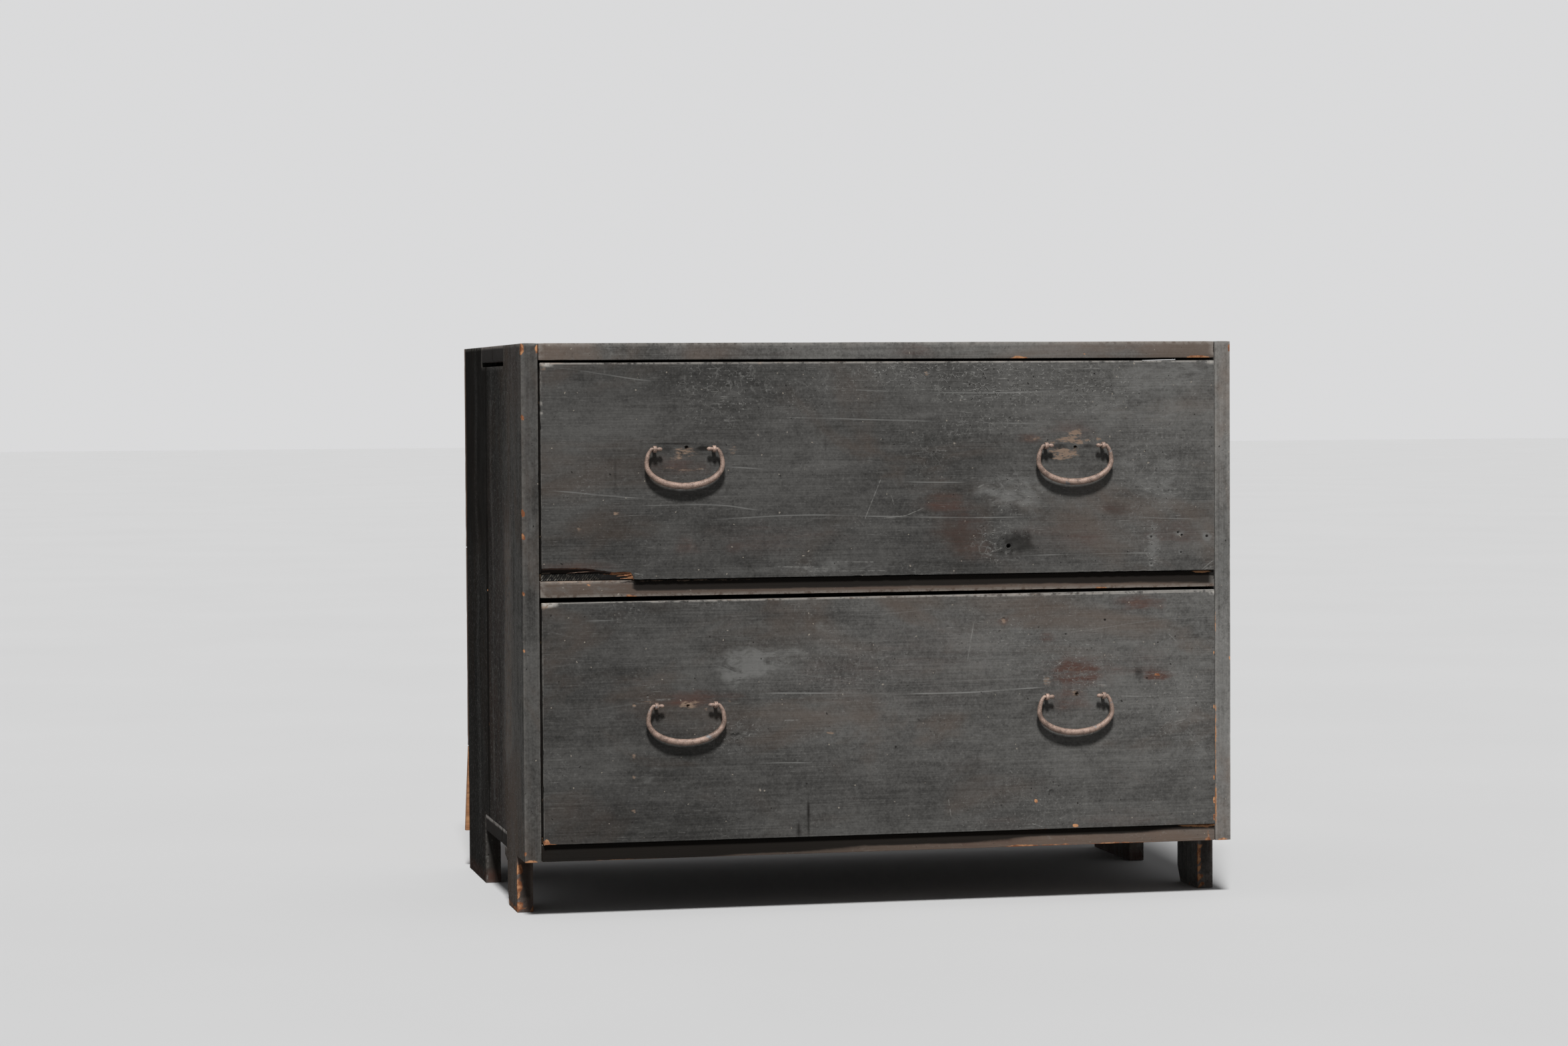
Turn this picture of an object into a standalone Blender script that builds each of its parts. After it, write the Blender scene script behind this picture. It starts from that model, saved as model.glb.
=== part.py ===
"""Low two-drawer chest of dark-stained softwood with forged bail handles.

Lengths are metres. In the chest's own coordinates x runs to the right, y runs back from the
plane of the side boards' front edges, and z runs up from the floor.
"""
import math

import bmesh
import bpy
from mathutils import Vector

# Case
WIDTH = 0.900
DEPTH = 0.530
HEIGHT = 0.700
SIDE_THICKNESS = 0.021
TOP_THICKNESS = 0.021
BOTTOM_THICKNESS = 0.021
FOOT_HEIGHT = 0.070
LOWER_OPENING_HEIGHT = 0.300
RAIL_THICKNESS = 0.0205
FIT_GAP = 0.0003
EDGE_EASE = 0.0010

# Side boards, measured back from their front edges
SIDE_JOINT_Y = 0.315
FRONT_FOOT_Y = 0.070
FRONT_FOOT_LENGTH = 0.083
FOOT_HEEL_LENGTH = 0.013
FOOT_HEEL_HEIGHT = 0.020
FOOT_BRACKET_LENGTH = 0.022
FOOT_BRACKET_HEIGHT = 0.010
FOOT_BRACKET_SLOPE = 0.007
CRACK_WIDTH = 0.0025
CRACK_LOW_Z = 0.131
CRACK_TOP_Z = 0.481
CRACK_TAPER = 0.060

# Through tenons of the top and bottom boards
TENON_Y = 0.157
TENON_LENGTH = 0.200
TOP_TENON_SLOT = 0.005
TENON_INSET = 0.0006
BOTTOM_JOINT_Y = 0.204
TOP_JOINT_Y = 0.255

# Divider between the drawers
RAIL_DEPTH = 0.060
REAR_RAIL_DEPTH = 0.045
STUB_TENON_LENGTH = 0.008
STUB_TENON_SHOULDER = 0.012
RUNNER_WIDTH = 0.032
DUST_BOARD_THICKNESS = 0.008
REBATE_WIDTH = 0.009

# Back boards
BACK_THICKNESS = 0.010
BACK_LOW_Z = 0.050
LOWER_BACK_HEIGHT = 0.115
MIDDLE_BACK_HEIGHT = 0.268
LOWER_BACK_OVERHANG = 0.005

# Nails of the back boards
NAIL_RADIUS = 0.0012
NAIL_LENGTH = 0.028
NAIL_HEAD_RADIUS = 0.0030
NAIL_HEAD_THICKNESS = 0.0012
NAIL_EDGE_DISTANCE = 0.030
NAIL_SIDES = 8

# Drawers
DRAWER_PROUD = 0.005
DRAWER_SIDE_PLAY = 0.0015
DRAWER_STOP_GAP = 0.0006
DRAWER_FRONT_THICKNESS = 0.022
DRAWER_SIDE_THICKNESS = 0.012
DRAWER_SIDE_INSET = 0.0010
DRAWER_BACK_THICKNESS = 0.012
DRAWER_BACK_SETBACK = 0.012
DRAWER_BACK_DROP = 0.008
DRAWER_BOTTOM_THICKNESS = 0.008
DRAWER_SIDE_DROP = 0.004
DRAWER_LAP = 0.010
DADO_DEPTH = 0.004
UPPER_TOP_GAP_LEFT = 0.0020
UPPER_TOP_GAP_RIGHT = 0.0022
LOWER_TOP_GAP_LEFT = 0.0055
LOWER_TOP_GAP_RIGHT = 0.0030

# Broken lower left corner of the upper drawer's front
CHIP_LENGTH = 0.106
CHIP_HEIGHT = 0.0165
CHIP_OUTLINE_SHARES = (
    (-0.05, -0.20), (-0.05, 0.93), (0.0, 0.93), (0.39, 1.0), (0.51, 0.90),
    (0.71, 0.69), (0.76, 0.32), (0.94, 0.20), (1.0, -0.20),
)

# Bamboo pegs at the drawers' front corners
PEG_RADIUS = 0.0016
PEG_LENGTH = 0.022
PEG_EDGE_DISTANCE = 0.045
PEG_SIDES = 8

# Handles
HANDLE_LEFT_X = 0.252
HANDLE_RIGHT_X = 0.242
UPPER_HANDLE_HEIGHT_SHARE = 0.5944
LOWER_HANDLE_HEIGHT_SHARE = 0.5567
NAIL_HOLE_RADIUS = 0.0015
NAIL_HOLE_DEPTH = 0.010

# Split pins that carry the bails
PIN_SPACING = 0.0736
PIN_WIDTH = 0.0050
PIN_STRIP = 0.0018
PIN_BORE_RADIUS = 0.0030
PIN_SLIT = 0.0004
PIN_LEG_LENGTH = 0.014
PIN_STANDOFF = 0.009
PIN_ARC_STEPS = 16

# Bails
BAIL_HALF_WIDTH = 0.047
BAIL_DROP = 0.045
BAIL_WIDEST_DROP = 0.020
BAIL_STUB_LENGTH = 0.003
BAIL_END_RADIUS = 0.0022
BAIL_WIDEST_RADIUS = 0.0029
BAIL_MIDDLE_RADIUS = 0.0041
KNOB_RADIUS = 0.0034
KNOB_STATION_SHARES = (-0.92, -0.55, 0.05, 0.60)
KNOB_RING_SHARES = (0.42, 0.80, 1.0, 0.92)
BAIL_SIDES = 10
BAIL_UPPER_STEPS = 5
BAIL_LOWER_STEPS = 9

# Length by which cutters pass the faces that they open
OVERRUN = 0.002

# Sizes that follow from the ones above
HALF_WIDTH = WIDTH / 2
INNER_HALF = HALF_WIDTH - SIDE_THICKNESS
SPAN_HALF = INNER_HALF - FIT_GAP
TENON_HALF = HALF_WIDTH - TENON_INSET
HALF_GAP = FIT_GAP / 2
REAR_Y = DEPTH - BACK_THICKNESS - FIT_GAP
FLOOR_TOP_Z = FOOT_HEIGHT + BOTTOM_THICKNESS
RAIL_LOW_Z = FLOOR_TOP_Z + LOWER_OPENING_HEIGHT
RAIL_TOP_Z = RAIL_LOW_Z + RAIL_THICKNESS
TOP_LOW_Z = HEIGHT - TOP_THICKNESS
SLOT_Z = TOP_LOW_Z - TOP_TENON_SLOT
REAR_RAIL_Y = REAR_Y - REAR_RAIL_DEPTH
DRAWER_HALF = INNER_HALF - DRAWER_SIDE_PLAY
DRAWER_BOX_HALF = DRAWER_HALF - DRAWER_SIDE_INSET
DRAWER_INNER_HALF = DRAWER_BOX_HALF - DRAWER_SIDE_THICKNESS
DRAWER_FACE_Y = -DRAWER_PROUD
DRAWER_INNER_Y = DRAWER_FACE_Y + DRAWER_FRONT_THICKNESS
DRAWER_LAP_Y = DRAWER_FACE_Y + DRAWER_LAP
DRAWER_REAR_Y = DEPTH - BACK_THICKNESS - DRAWER_STOP_GAP
PEG_Y = (DRAWER_LAP_Y + DRAWER_INNER_Y) / 2
BAIL_AXIS_Y = DRAWER_FACE_Y - PIN_STANDOFF
FRONT_REACH_Y = BAIL_AXIS_Y - max(BAIL_MIDDLE_RADIUS, PIN_BORE_RADIUS + PIN_STRIP)
CENTRE_Y = (DEPTH + FRONT_REACH_Y) / 2

# Corners that turn by more than this are eased
CORNER_ANGLE = math.radians(20)


def clear_scene():
    for item in list(bpy.data.objects):
        bpy.data.objects.remove(item)


def finish(name, colour, roughness, metallic=0.0):
    """Returns a plain material."""
    material = bpy.data.materials.new(name)
    material.use_nodes = True
    shader = material.node_tree.nodes["Principled BSDF"]
    shader.inputs["Base Color"].default_value = (*colour, 1.0)
    shader.inputs["Roughness"].default_value = roughness
    shader.inputs["Metallic"].default_value = metallic
    return material


def empty(name, location, parent=None):
    """Adds an empty; one with a parent stands at a place in the chest's coordinates."""
    frame = bpy.data.objects.new(name, None)
    bpy.context.scene.collection.objects.link(frame)
    frame.parent = parent
    frame.location = location
    frame["place"] = location if parent else (0.0, 0.0, 0.0)
    return frame


def add_object(name, mesh, origin, parent, material=None):
    """Links a mesh drawn in the chest's coordinates, with its origin at a given place."""
    origin = Vector(origin)
    bmesh.ops.recalc_face_normals(mesh, faces=mesh.faces)
    bmesh.ops.translate(mesh, verts=mesh.verts, vec=-origin)
    data = bpy.data.meshes.new(name)
    mesh.to_mesh(data)
    mesh.free()
    item = bpy.data.objects.new(name, data)
    bpy.context.scene.collection.objects.link(item)
    item.parent = parent
    item.location = origin - Vector(parent["place"])
    if material:
        data.materials.append(material)
    return item


def add_prism(mesh, axis, outline, start, end):
    """Adds an outline drawn in the two other axes, extruded along one axis."""
    position = "xyz".index(axis)

    def place(u, v, along):
        point = [u, v]
        point.insert(position, along)
        return point

    base = mesh.faces.new([mesh.verts.new(place(u, v, start)) for u, v in outline])
    swept = bmesh.ops.extrude_face_region(mesh, geom=[base])["geom"]
    raised = [part for part in swept if isinstance(part, bmesh.types.BMVert)]
    shift = Vector()
    shift[position] = end - start
    bmesh.ops.translate(mesh, verts=raised, vec=shift)


def circle(centre_u, centre_v, radius, sides):
    """Returns a round outline."""
    turns = [2 * math.pi * step / sides for step in range(sides)]
    return [(centre_u + radius * math.cos(turn), centre_v + radius * math.sin(turn)) for turn in turns]


def rectangle(low_u, low_v, high_u, high_v):
    """Returns a rectangular outline."""
    return [(low_u, low_v), (high_u, low_v), (high_u, high_v), (low_u, high_v)]


def board(name, axis, outline, start, end, parent, material):
    """Adds a board whose outline is extruded along one axis, with its outward corners eased."""
    start, end = sorted((start, end))
    mesh = bmesh.new()
    add_prism(mesh, axis, outline, start, end)
    middle = [
        (min(values) + max(values)) / 2
        for values in zip(*(vert.co for vert in mesh.verts))
    ]
    bmesh.ops.recalc_face_normals(mesh, faces=mesh.faces)
    corners = [edge for edge in mesh.edges if edge.is_convex and edge.calc_face_angle() > CORNER_ANGLE]
    bmesh.ops.bevel(mesh, geom=corners, offset=EDGE_EASE, segments=1, affect="EDGES")
    return add_object(name, mesh, middle, parent, material)


def cut(item, label, prisms):
    """Cuts prisms, each an axis, an outline, a start and an end, out of a piece."""
    mesh = bmesh.new()
    for axis, outline, start, end in prisms:
        add_prism(mesh, axis, outline, min(start, end), max(start, end))
    cutter = add_object(f"{item.name}_{label}_cutter", mesh, item.parent["place"], item.parent)
    cutter.hide_render = True
    cutter.display_type = "WIRE"
    opening = item.modifiers.new(label, "BOOLEAN")
    opening.operation = "DIFFERENCE"
    opening.solver = "EXACT"
    opening.object = cutter


def side_boards(chest, side, sign, material):
    """Adds one side: a front and a rear board, each with its foot."""
    foot_rear_y = FRONT_FOOT_Y + FRONT_FOOT_LENGTH
    bracket_y = foot_rear_y + FOOT_BRACKET_LENGTH
    tenon_end_y = TENON_Y + TENON_LENGTH
    bracket_z = FOOT_HEIGHT - FOOT_BRACKET_HEIGHT
    front_joint_y = SIDE_JOINT_Y - HALF_GAP
    rear_joint_y = SIDE_JOINT_Y + HALF_GAP
    mortise_top_z = FLOOR_TOP_Z + FIT_GAP
    front_outline = [
        (0, FOOT_HEIGHT),
        (FRONT_FOOT_Y, FOOT_HEIGHT),
        (FRONT_FOOT_Y, 0),
        (foot_rear_y - FOOT_HEEL_LENGTH, 0),
        (foot_rear_y, FOOT_HEEL_HEIGHT),
        (foot_rear_y, bracket_z - FOOT_BRACKET_SLOPE),
        (bracket_y, bracket_z),
        (bracket_y, FOOT_HEIGHT - FIT_GAP),
        (TENON_Y, FOOT_HEIGHT - FIT_GAP),
        (TENON_Y, mortise_top_z),
        (front_joint_y, mortise_top_z),
        (front_joint_y, SLOT_Z),
        (TENON_Y, SLOT_Z),
        (TENON_Y, HEIGHT),
        (0, HEIGHT),
    ]
    rear_outline = [
        (rear_joint_y, mortise_top_z),
        (tenon_end_y, mortise_top_z),
        (tenon_end_y, 0),
        (REAR_Y, 0),
        (REAR_Y, HEIGHT),
        (tenon_end_y, HEIGHT),
        (tenon_end_y, SLOT_Z),
        (rear_joint_y, SLOT_Z),
        (rear_joint_y, CRACK_TOP_Z),
        (rear_joint_y + CRACK_WIDTH, CRACK_TOP_Z - CRACK_TAPER),
        (rear_joint_y + CRACK_WIDTH, CRACK_LOW_Z + CRACK_TAPER),
        (rear_joint_y, CRACK_LOW_Z),
    ]
    inner, outer = sign * INNER_HALF, sign * HALF_WIDTH
    front = board(side + "_side_front_board", "x", front_outline, inner, outer, chest, material)
    rear = board(side + "_side_rear_board", "x", rear_outline, inner, outer, chest, material)
    mortise_end = sign * (INNER_HALF + STUB_TENON_LENGTH)
    mortise_start = sign * (INNER_HALF - OVERRUN)
    low_z, high_z = RAIL_LOW_Z - FIT_GAP, RAIL_TOP_Z + FIT_GAP
    inset = STUB_TENON_SHOULDER - FIT_GAP
    for item, front_y, rear_y in ((front, 0, RAIL_DEPTH), (rear, REAR_RAIL_Y, REAR_Y)):
        mortise = rectangle(front_y + inset, low_z, rear_y - inset, high_z)
        cut(item, "mortise", [("x", mortise, mortise_start, mortise_end)])
    nail_holes = []
    nail_x = sign * (HALF_WIDTH - SIDE_THICKNESS / 2)
    for nail_z in back_nail_heights():
        hole = circle(nail_x, nail_z, NAIL_RADIUS + FIT_GAP, NAIL_SIDES)
        nail_holes.append(("y", hole, DEPTH - NAIL_LENGTH - FIT_GAP, DEPTH + OVERRUN))
    cut(rear, "nail_holes", nail_holes)


def tenoned_outline(front_y, rear_y, tenon_front_y, tenon_rear_y, tenon_half):
    """Returns the plan of a board between the sides that has a tenon at each end."""
    right = []
    if tenon_front_y > front_y:
        right += [(SPAN_HALF, front_y), (SPAN_HALF, tenon_front_y)]
    right += [(tenon_half, tenon_front_y), (tenon_half, tenon_rear_y)]
    if tenon_rear_y < rear_y:
        right += [(SPAN_HALF, tenon_rear_y), (SPAN_HALF, rear_y)]
    return right + [(-x, y) for x, y in reversed(right)]


def top_and_bottom(chest, material):
    """Adds the two boards of the top and the two of the bottom."""
    layers = (
        ("top", TOP_JOINT_Y, TOP_LOW_Z, HEIGHT),
        ("bottom", BOTTOM_JOINT_Y, FOOT_HEIGHT, FLOOR_TOP_Z),
    )
    tenon_front, tenon_rear = TENON_Y + FIT_GAP, TENON_Y + TENON_LENGTH - FIT_GAP
    for name, joint_y, low_z, high_z in layers:
        front_joint, rear_joint = joint_y - HALF_GAP, joint_y + HALF_GAP
        halves = (
            ("front", 0, front_joint, tenon_front, front_joint),
            ("rear", rear_joint, REAR_Y, rear_joint, tenon_rear),
        )
        for half, front_y, rear_y, tenon_start, tenon_end in halves:
            outline = tenoned_outline(front_y, rear_y, tenon_start, tenon_end, TENON_HALF)
            board(f"{name}_{half}_board", "z", outline, low_z, high_z, chest, material)


def divider(chest, rail_material, inner_material):
    """Adds the rails, runners and dust board between the two drawers."""
    front_rebate = (RAIL_DEPTH - REBATE_WIDTH, RAIL_DEPTH + OVERRUN)
    rear_rebate = (REAR_RAIL_Y - OVERRUN, REAR_RAIL_Y + REBATE_WIDTH)
    rails = (
        ("middle_rail", 0, RAIL_DEPTH, front_rebate, rail_material),
        ("middle_rear_rail", REAR_RAIL_Y, REAR_Y, rear_rebate, inner_material),
    )
    tenon_half = INNER_HALF + STUB_TENON_LENGTH - FIT_GAP
    rebate_low_z = RAIL_TOP_Z - DUST_BOARD_THICKNESS - FIT_GAP
    for name, front_y, rear_y, rebate_span, material in rails:
        tenon_front, tenon_rear = front_y + STUB_TENON_SHOULDER, rear_y - STUB_TENON_SHOULDER
        outline = tenoned_outline(front_y, rear_y, tenon_front, tenon_rear, tenon_half)
        rail = board(name, "z", outline, RAIL_LOW_Z, RAIL_TOP_Z, chest, material)
        rebate_half = INNER_HALF - RUNNER_WIDTH + REBATE_WIDTH
        rebate = rectangle(-rebate_half, rebate_low_z, rebate_half, RAIL_TOP_Z + OVERRUN)
        cut(rail, "rebate", [("y", rebate, *rebate_span)])

    runner_front_y, runner_rear_y = RAIL_DEPTH + FIT_GAP, REAR_RAIL_Y - FIT_GAP
    for side, sign in (("left", -1), ("right", 1)):
        outer, inner = sign * SPAN_HALF, sign * (INNER_HALF - RUNNER_WIDTH)
        step = sign * (INNER_HALF - RUNNER_WIDTH + REBATE_WIDTH)
        profile = [
            (outer, RAIL_LOW_Z), (outer, RAIL_TOP_Z), (step, RAIL_TOP_Z),
            (step, rebate_low_z), (inner, rebate_low_z), (inner, RAIL_LOW_Z),
        ]
        board(side + "_runner", "y", profile, runner_front_y, runner_rear_y, chest, inner_material)

    panel_half = INNER_HALF - RUNNER_WIDTH + REBATE_WIDTH - FIT_GAP
    panel = rectangle(
        -panel_half, RAIL_DEPTH - REBATE_WIDTH + FIT_GAP,
        panel_half, REAR_RAIL_Y + REBATE_WIDTH - FIT_GAP,
    )
    low_z = RAIL_TOP_Z - DUST_BOARD_THICKNESS
    board("dust_board", "z", panel, low_z, RAIL_TOP_Z, chest, inner_material)


def back_board_spans():
    """Returns each back board's name, lowest and highest edge."""
    lower_top_z = BACK_LOW_Z + LOWER_BACK_HEIGHT
    middle_top_z = lower_top_z + MIDDLE_BACK_HEIGHT
    return (
        ("lower", BACK_LOW_Z, lower_top_z - FIT_GAP),
        ("middle", lower_top_z, middle_top_z - FIT_GAP),
        ("upper", middle_top_z, HEIGHT),
    )


def back_nail_heights():
    """Returns the heights of the nails at each end of the back boards, from the floor up."""
    heights = []
    for _, low_z, high_z in back_board_spans():
        heights += [low_z + NAIL_EDGE_DISTANCE, high_z - NAIL_EDGE_DISTANCE]
    return heights


def back(chest, board_material, nail_material):
    """Adds the three back boards and the nails that hold their ends to the sides."""
    nail_x = HALF_WIDTH - SIDE_THICKNESS / 2
    head_y = DEPTH - NAIL_HEAD_THICKNESS - FIT_GAP
    inner_y = DEPTH - BACK_THICKNESS
    for name, low_z, high_z in back_board_spans():
        overhang = LOWER_BACK_OVERHANG if name == "lower" else 0
        low_half = HALF_WIDTH + overhang
        outline = [(-low_half, low_z), (low_half, low_z), (HALF_WIDTH, high_z), (-HALF_WIDTH, high_z)]
        item = board(name + "_back_board", "y", outline, inner_y, DEPTH, chest, board_material)
        shank_holes, head_holes = [], []
        for x in (-nail_x, nail_x):
            for z in (low_z + NAIL_EDGE_DISTANCE, high_z - NAIL_EDGE_DISTANCE):
                shank = circle(x, z, NAIL_RADIUS + FIT_GAP, NAIL_SIDES)
                head = circle(x, z, NAIL_HEAD_RADIUS + FIT_GAP, NAIL_SIDES)
                shank_holes.append(("y", shank, inner_y - OVERRUN, head_y))
                head_holes.append(("y", head, head_y - FIT_GAP, DEPTH + OVERRUN))
        cut(item, "nail_holes", shank_holes)
        cut(item, "nail_head_holes", head_holes)

    for side, sign in (("left", -1), ("right", 1)):
        for number, z in enumerate(back_nail_heights(), start=1):
            mesh = bmesh.new()
            stations = (
                (DEPTH - NAIL_LENGTH, NAIL_RADIUS),
                (head_y, NAIL_RADIUS),
                (head_y, NAIL_HEAD_RADIUS),
                (DEPTH - FIT_GAP, NAIL_HEAD_RADIUS),
            )
            rings = []
            for y, radius in stations:
                round_outline = circle(sign * nail_x, z, radius, NAIL_SIDES)
                rings.append([mesh.verts.new((u, y, v)) for u, v in round_outline])
            close_rings(mesh, rings)
            name = f"{side}_back_nail_{number}"
            add_object(name, mesh, (sign * nail_x, DEPTH - FIT_GAP, z), chest, nail_material)


def close_rings(mesh, rings):
    """Joins rings of points into a closed round body."""
    for first, second in zip(rings, rings[1:]):
        for index in range(len(first)):
            following = (index + 1) % len(first)
            mesh.faces.new((first[index], first[following], second[following], second[index]))
    mesh.faces.new(rings[0])
    mesh.faces.new(rings[-1])


def drawer(chest, name, low_z, high_z, top_gaps, handle_height_share, chipped, materials):
    """Adds one drawer with its box, pegs, split pins and bails."""
    base_z = low_z + FIT_GAP
    slide = empty(name + "_slide", (0, DRAWER_FACE_Y, base_z), chest)
    left_top_z, right_top_z = high_z - top_gaps[0], high_z - top_gaps[1]
    side_low_z = base_z + DRAWER_BOTTOM_THICKNESS + FIT_GAP
    side_top_z = min(left_top_z, right_top_z) - DRAWER_SIDE_DROP
    peg_heights = (side_low_z + PEG_EDGE_DISTANCE, side_top_z - PEG_EDGE_DISTANCE)
    handle_z = low_z + handle_height_share * (high_z - low_z)
    handle_xs = (("left", -HANDLE_LEFT_X), ("right", HANDLE_RIGHT_X))

    outline = [
        (-DRAWER_HALF, base_z), (DRAWER_HALF, base_z),
        (DRAWER_HALF, right_top_z), (-DRAWER_HALF, left_top_z),
    ]
    front = board(name + "_front", "y", outline, DRAWER_FACE_Y, DRAWER_INNER_Y, slide, materials["front"])
    cut_corner_joints(front, base_z, side_low_z, high_z)
    holes = handle_holes([x for _, x in handle_xs], handle_z)
    for sign in (-1, 1):
        bore_end = DRAWER_BOX_HALF - PEG_LENGTH - FIT_GAP
        holes += peg_bores(sign, peg_heights, bore_end, DRAWER_INNER_HALF + OVERRUN)
    cut(front, "holes", holes)
    if chipped:
        chip = [
            (-DRAWER_HALF + across * CHIP_LENGTH, base_z + up * CHIP_HEIGHT)
            for across, up in CHIP_OUTLINE_SHARES
        ]
        cut(front, "chip", [("y", chip, DRAWER_FACE_Y - OVERRUN, DRAWER_LAP_Y + HALF_GAP)])

    drawer_box(slide, name, base_z, side_low_z, side_top_z, peg_heights, materials)
    for side, handle_x in handle_xs:
        for pin_side, sign in (("left", -1), ("right", 1)):
            pin_x = handle_x + sign * PIN_SPACING / 2
            split_pin(f"{name}_{side}_handle_{pin_side}_pin", slide, pin_x, handle_z, materials["iron"])
        bail(f"{name}_{side}_bail", slide, handle_x, handle_z, materials["iron"])


def cut_corner_joints(front, base_z, side_low_z, high_z):
    """Cuts the laps for the drawer's sides and the rebate for its bottom."""
    shoulder, end = DRAWER_INNER_HALF - FIT_GAP, DRAWER_HALF + OVERRUN
    laps = []
    for sign in (-1, 1):
        lap_start, lap_end = sorted((sign * shoulder, sign * end))
        lap = rectangle(lap_start, DRAWER_LAP_Y, lap_end, DRAWER_INNER_Y + OVERRUN)
        laps.append(("z", lap, base_z - OVERRUN, high_z + OVERRUN))
    cut(front, "laps", laps)
    rebate = rectangle(DRAWER_LAP_Y, base_z - OVERRUN, DRAWER_INNER_Y + OVERRUN, side_low_z)
    cut(front, "rebate", [("x", rebate, -end, end)])


def handle_holes(handle_xs, z):
    """Returns the slots for the split pins and the nail hole between each pair of them."""
    half_height = PIN_STRIP + PIN_SLIT / 2 + FIT_GAP
    half_width = PIN_WIDTH / 2 + FIT_GAP
    front_y = DRAWER_FACE_Y - OVERRUN
    holes = []
    for handle_x in handle_xs:
        for pin_x in (handle_x - PIN_SPACING / 2, handle_x + PIN_SPACING / 2):
            slot = rectangle(pin_x - half_width, z - half_height, pin_x + half_width, z + half_height)
            holes.append(("y", slot, front_y, DRAWER_INNER_Y + OVERRUN))
        nail_hole = circle(handle_x, z, NAIL_HOLE_RADIUS, NAIL_SIDES)
        holes.append(("y", nail_hole, front_y, DRAWER_FACE_Y + NAIL_HOLE_DEPTH))
    return holes


def peg_bores(sign, heights, inner, outer):
    """Returns the bores of one corner's pegs between two distances from the middle."""
    bores = []
    for z in heights:
        bore = circle(PEG_Y, z, PEG_RADIUS + FIT_GAP, PEG_SIDES)
        bores.append(("x", bore, sign * inner, sign * outer))
    return bores


def drawer_box(slide, name, base_z, side_low_z, side_top_z, peg_heights, materials):
    """Adds a drawer's sides with their pegs, its back and its bottom."""
    box_front_y = DRAWER_LAP_Y + FIT_GAP
    back_rear_y = DRAWER_REAR_Y - DRAWER_BACK_SETBACK
    back_front_y = back_rear_y - DRAWER_BACK_THICKNESS
    for side, sign in (("left", -1), ("right", 1)):
        outer, inner = sign * DRAWER_BOX_HALF, sign * DRAWER_INNER_HALF
        groove = sign * (DRAWER_INNER_HALF + DADO_DEPTH)
        plan = [
            (outer, box_front_y), (outer, DRAWER_REAR_Y), (inner, DRAWER_REAR_Y),
            (inner, back_rear_y + FIT_GAP), (groove, back_rear_y + FIT_GAP),
            (groove, back_front_y - FIT_GAP), (inner, back_front_y - FIT_GAP), (inner, box_front_y),
        ]
        wall = board(f"{name}_{side}_side", "z", plan, side_low_z, side_top_z, slide, materials["box"])
        bores = peg_bores(sign, peg_heights, DRAWER_INNER_HALF - OVERRUN, DRAWER_BOX_HALF + OVERRUN)
        cut(wall, "peg_bores", bores)
        peg_end = sign * (DRAWER_BOX_HALF - PEG_LENGTH)
        for level, z in zip(("lower", "upper"), peg_heights):
            mesh = bmesh.new()
            add_prism(mesh, "x", circle(PEG_Y, z, PEG_RADIUS, PEG_SIDES), peg_end, outer)
            add_object(f"{name}_{side}_{level}_peg", mesh, (outer, PEG_Y, z), slide, materials["peg"])

    back_half = DRAWER_INNER_HALF + DADO_DEPTH - FIT_GAP
    back_plan = rectangle(-back_half, back_front_y, back_half, back_rear_y)
    back_top_z = side_top_z - DRAWER_BACK_DROP
    board(name + "_back", "z", back_plan, side_low_z, back_top_z, slide, materials["box"])
    floor_plan = rectangle(-DRAWER_BOX_HALF, box_front_y, DRAWER_BOX_HALF, DRAWER_REAR_Y)
    floor_top_z = base_z + DRAWER_BOTTOM_THICKNESS
    board(name + "_bottom", "z", floor_plan, base_z, floor_top_z, slide, materials["box"])


def split_pin(name, parent, x, z, material):
    """Adds an iron strip bent round into an eye, driven through the front and spread inside."""
    outer_radius = PIN_BORE_RADIUS + PIN_STRIP
    slit_z = PIN_SLIT / 2
    leg_z = slit_z + PIN_STRIP
    leg_front_y = DRAWER_INNER_Y + FIT_GAP
    leg_rear_y = leg_front_y + PIN_STRIP

    def arc(radius, height):
        first = math.asin(height / radius)
        span = 2 * math.pi - 2 * first
        turns = [first + span * step / PIN_ARC_STEPS for step in range(PIN_ARC_STEPS + 1)]
        return [(BAIL_AXIS_Y + radius * math.cos(turn), z + radius * math.sin(turn)) for turn in turns]

    outline = [
        (leg_rear_y, z + slit_z), (leg_rear_y, z + PIN_LEG_LENGTH),
        (leg_front_y, z + PIN_LEG_LENGTH), (leg_front_y, z + leg_z),
    ]
    outline += arc(outer_radius, leg_z)
    outline += [
        (leg_front_y, z - leg_z), (leg_front_y, z - PIN_LEG_LENGTH),
        (leg_rear_y, z - PIN_LEG_LENGTH), (leg_rear_y, z - slit_z),
    ]
    outline += arc(PIN_BORE_RADIUS, slit_z)[::-1]
    mesh = bmesh.new()
    add_prism(mesh, "x", outline, x - PIN_WIDTH / 2, x + PIN_WIDTH / 2)
    add_object(name, mesh, (x, BAIL_AXIS_Y, z), parent, material)


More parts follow.
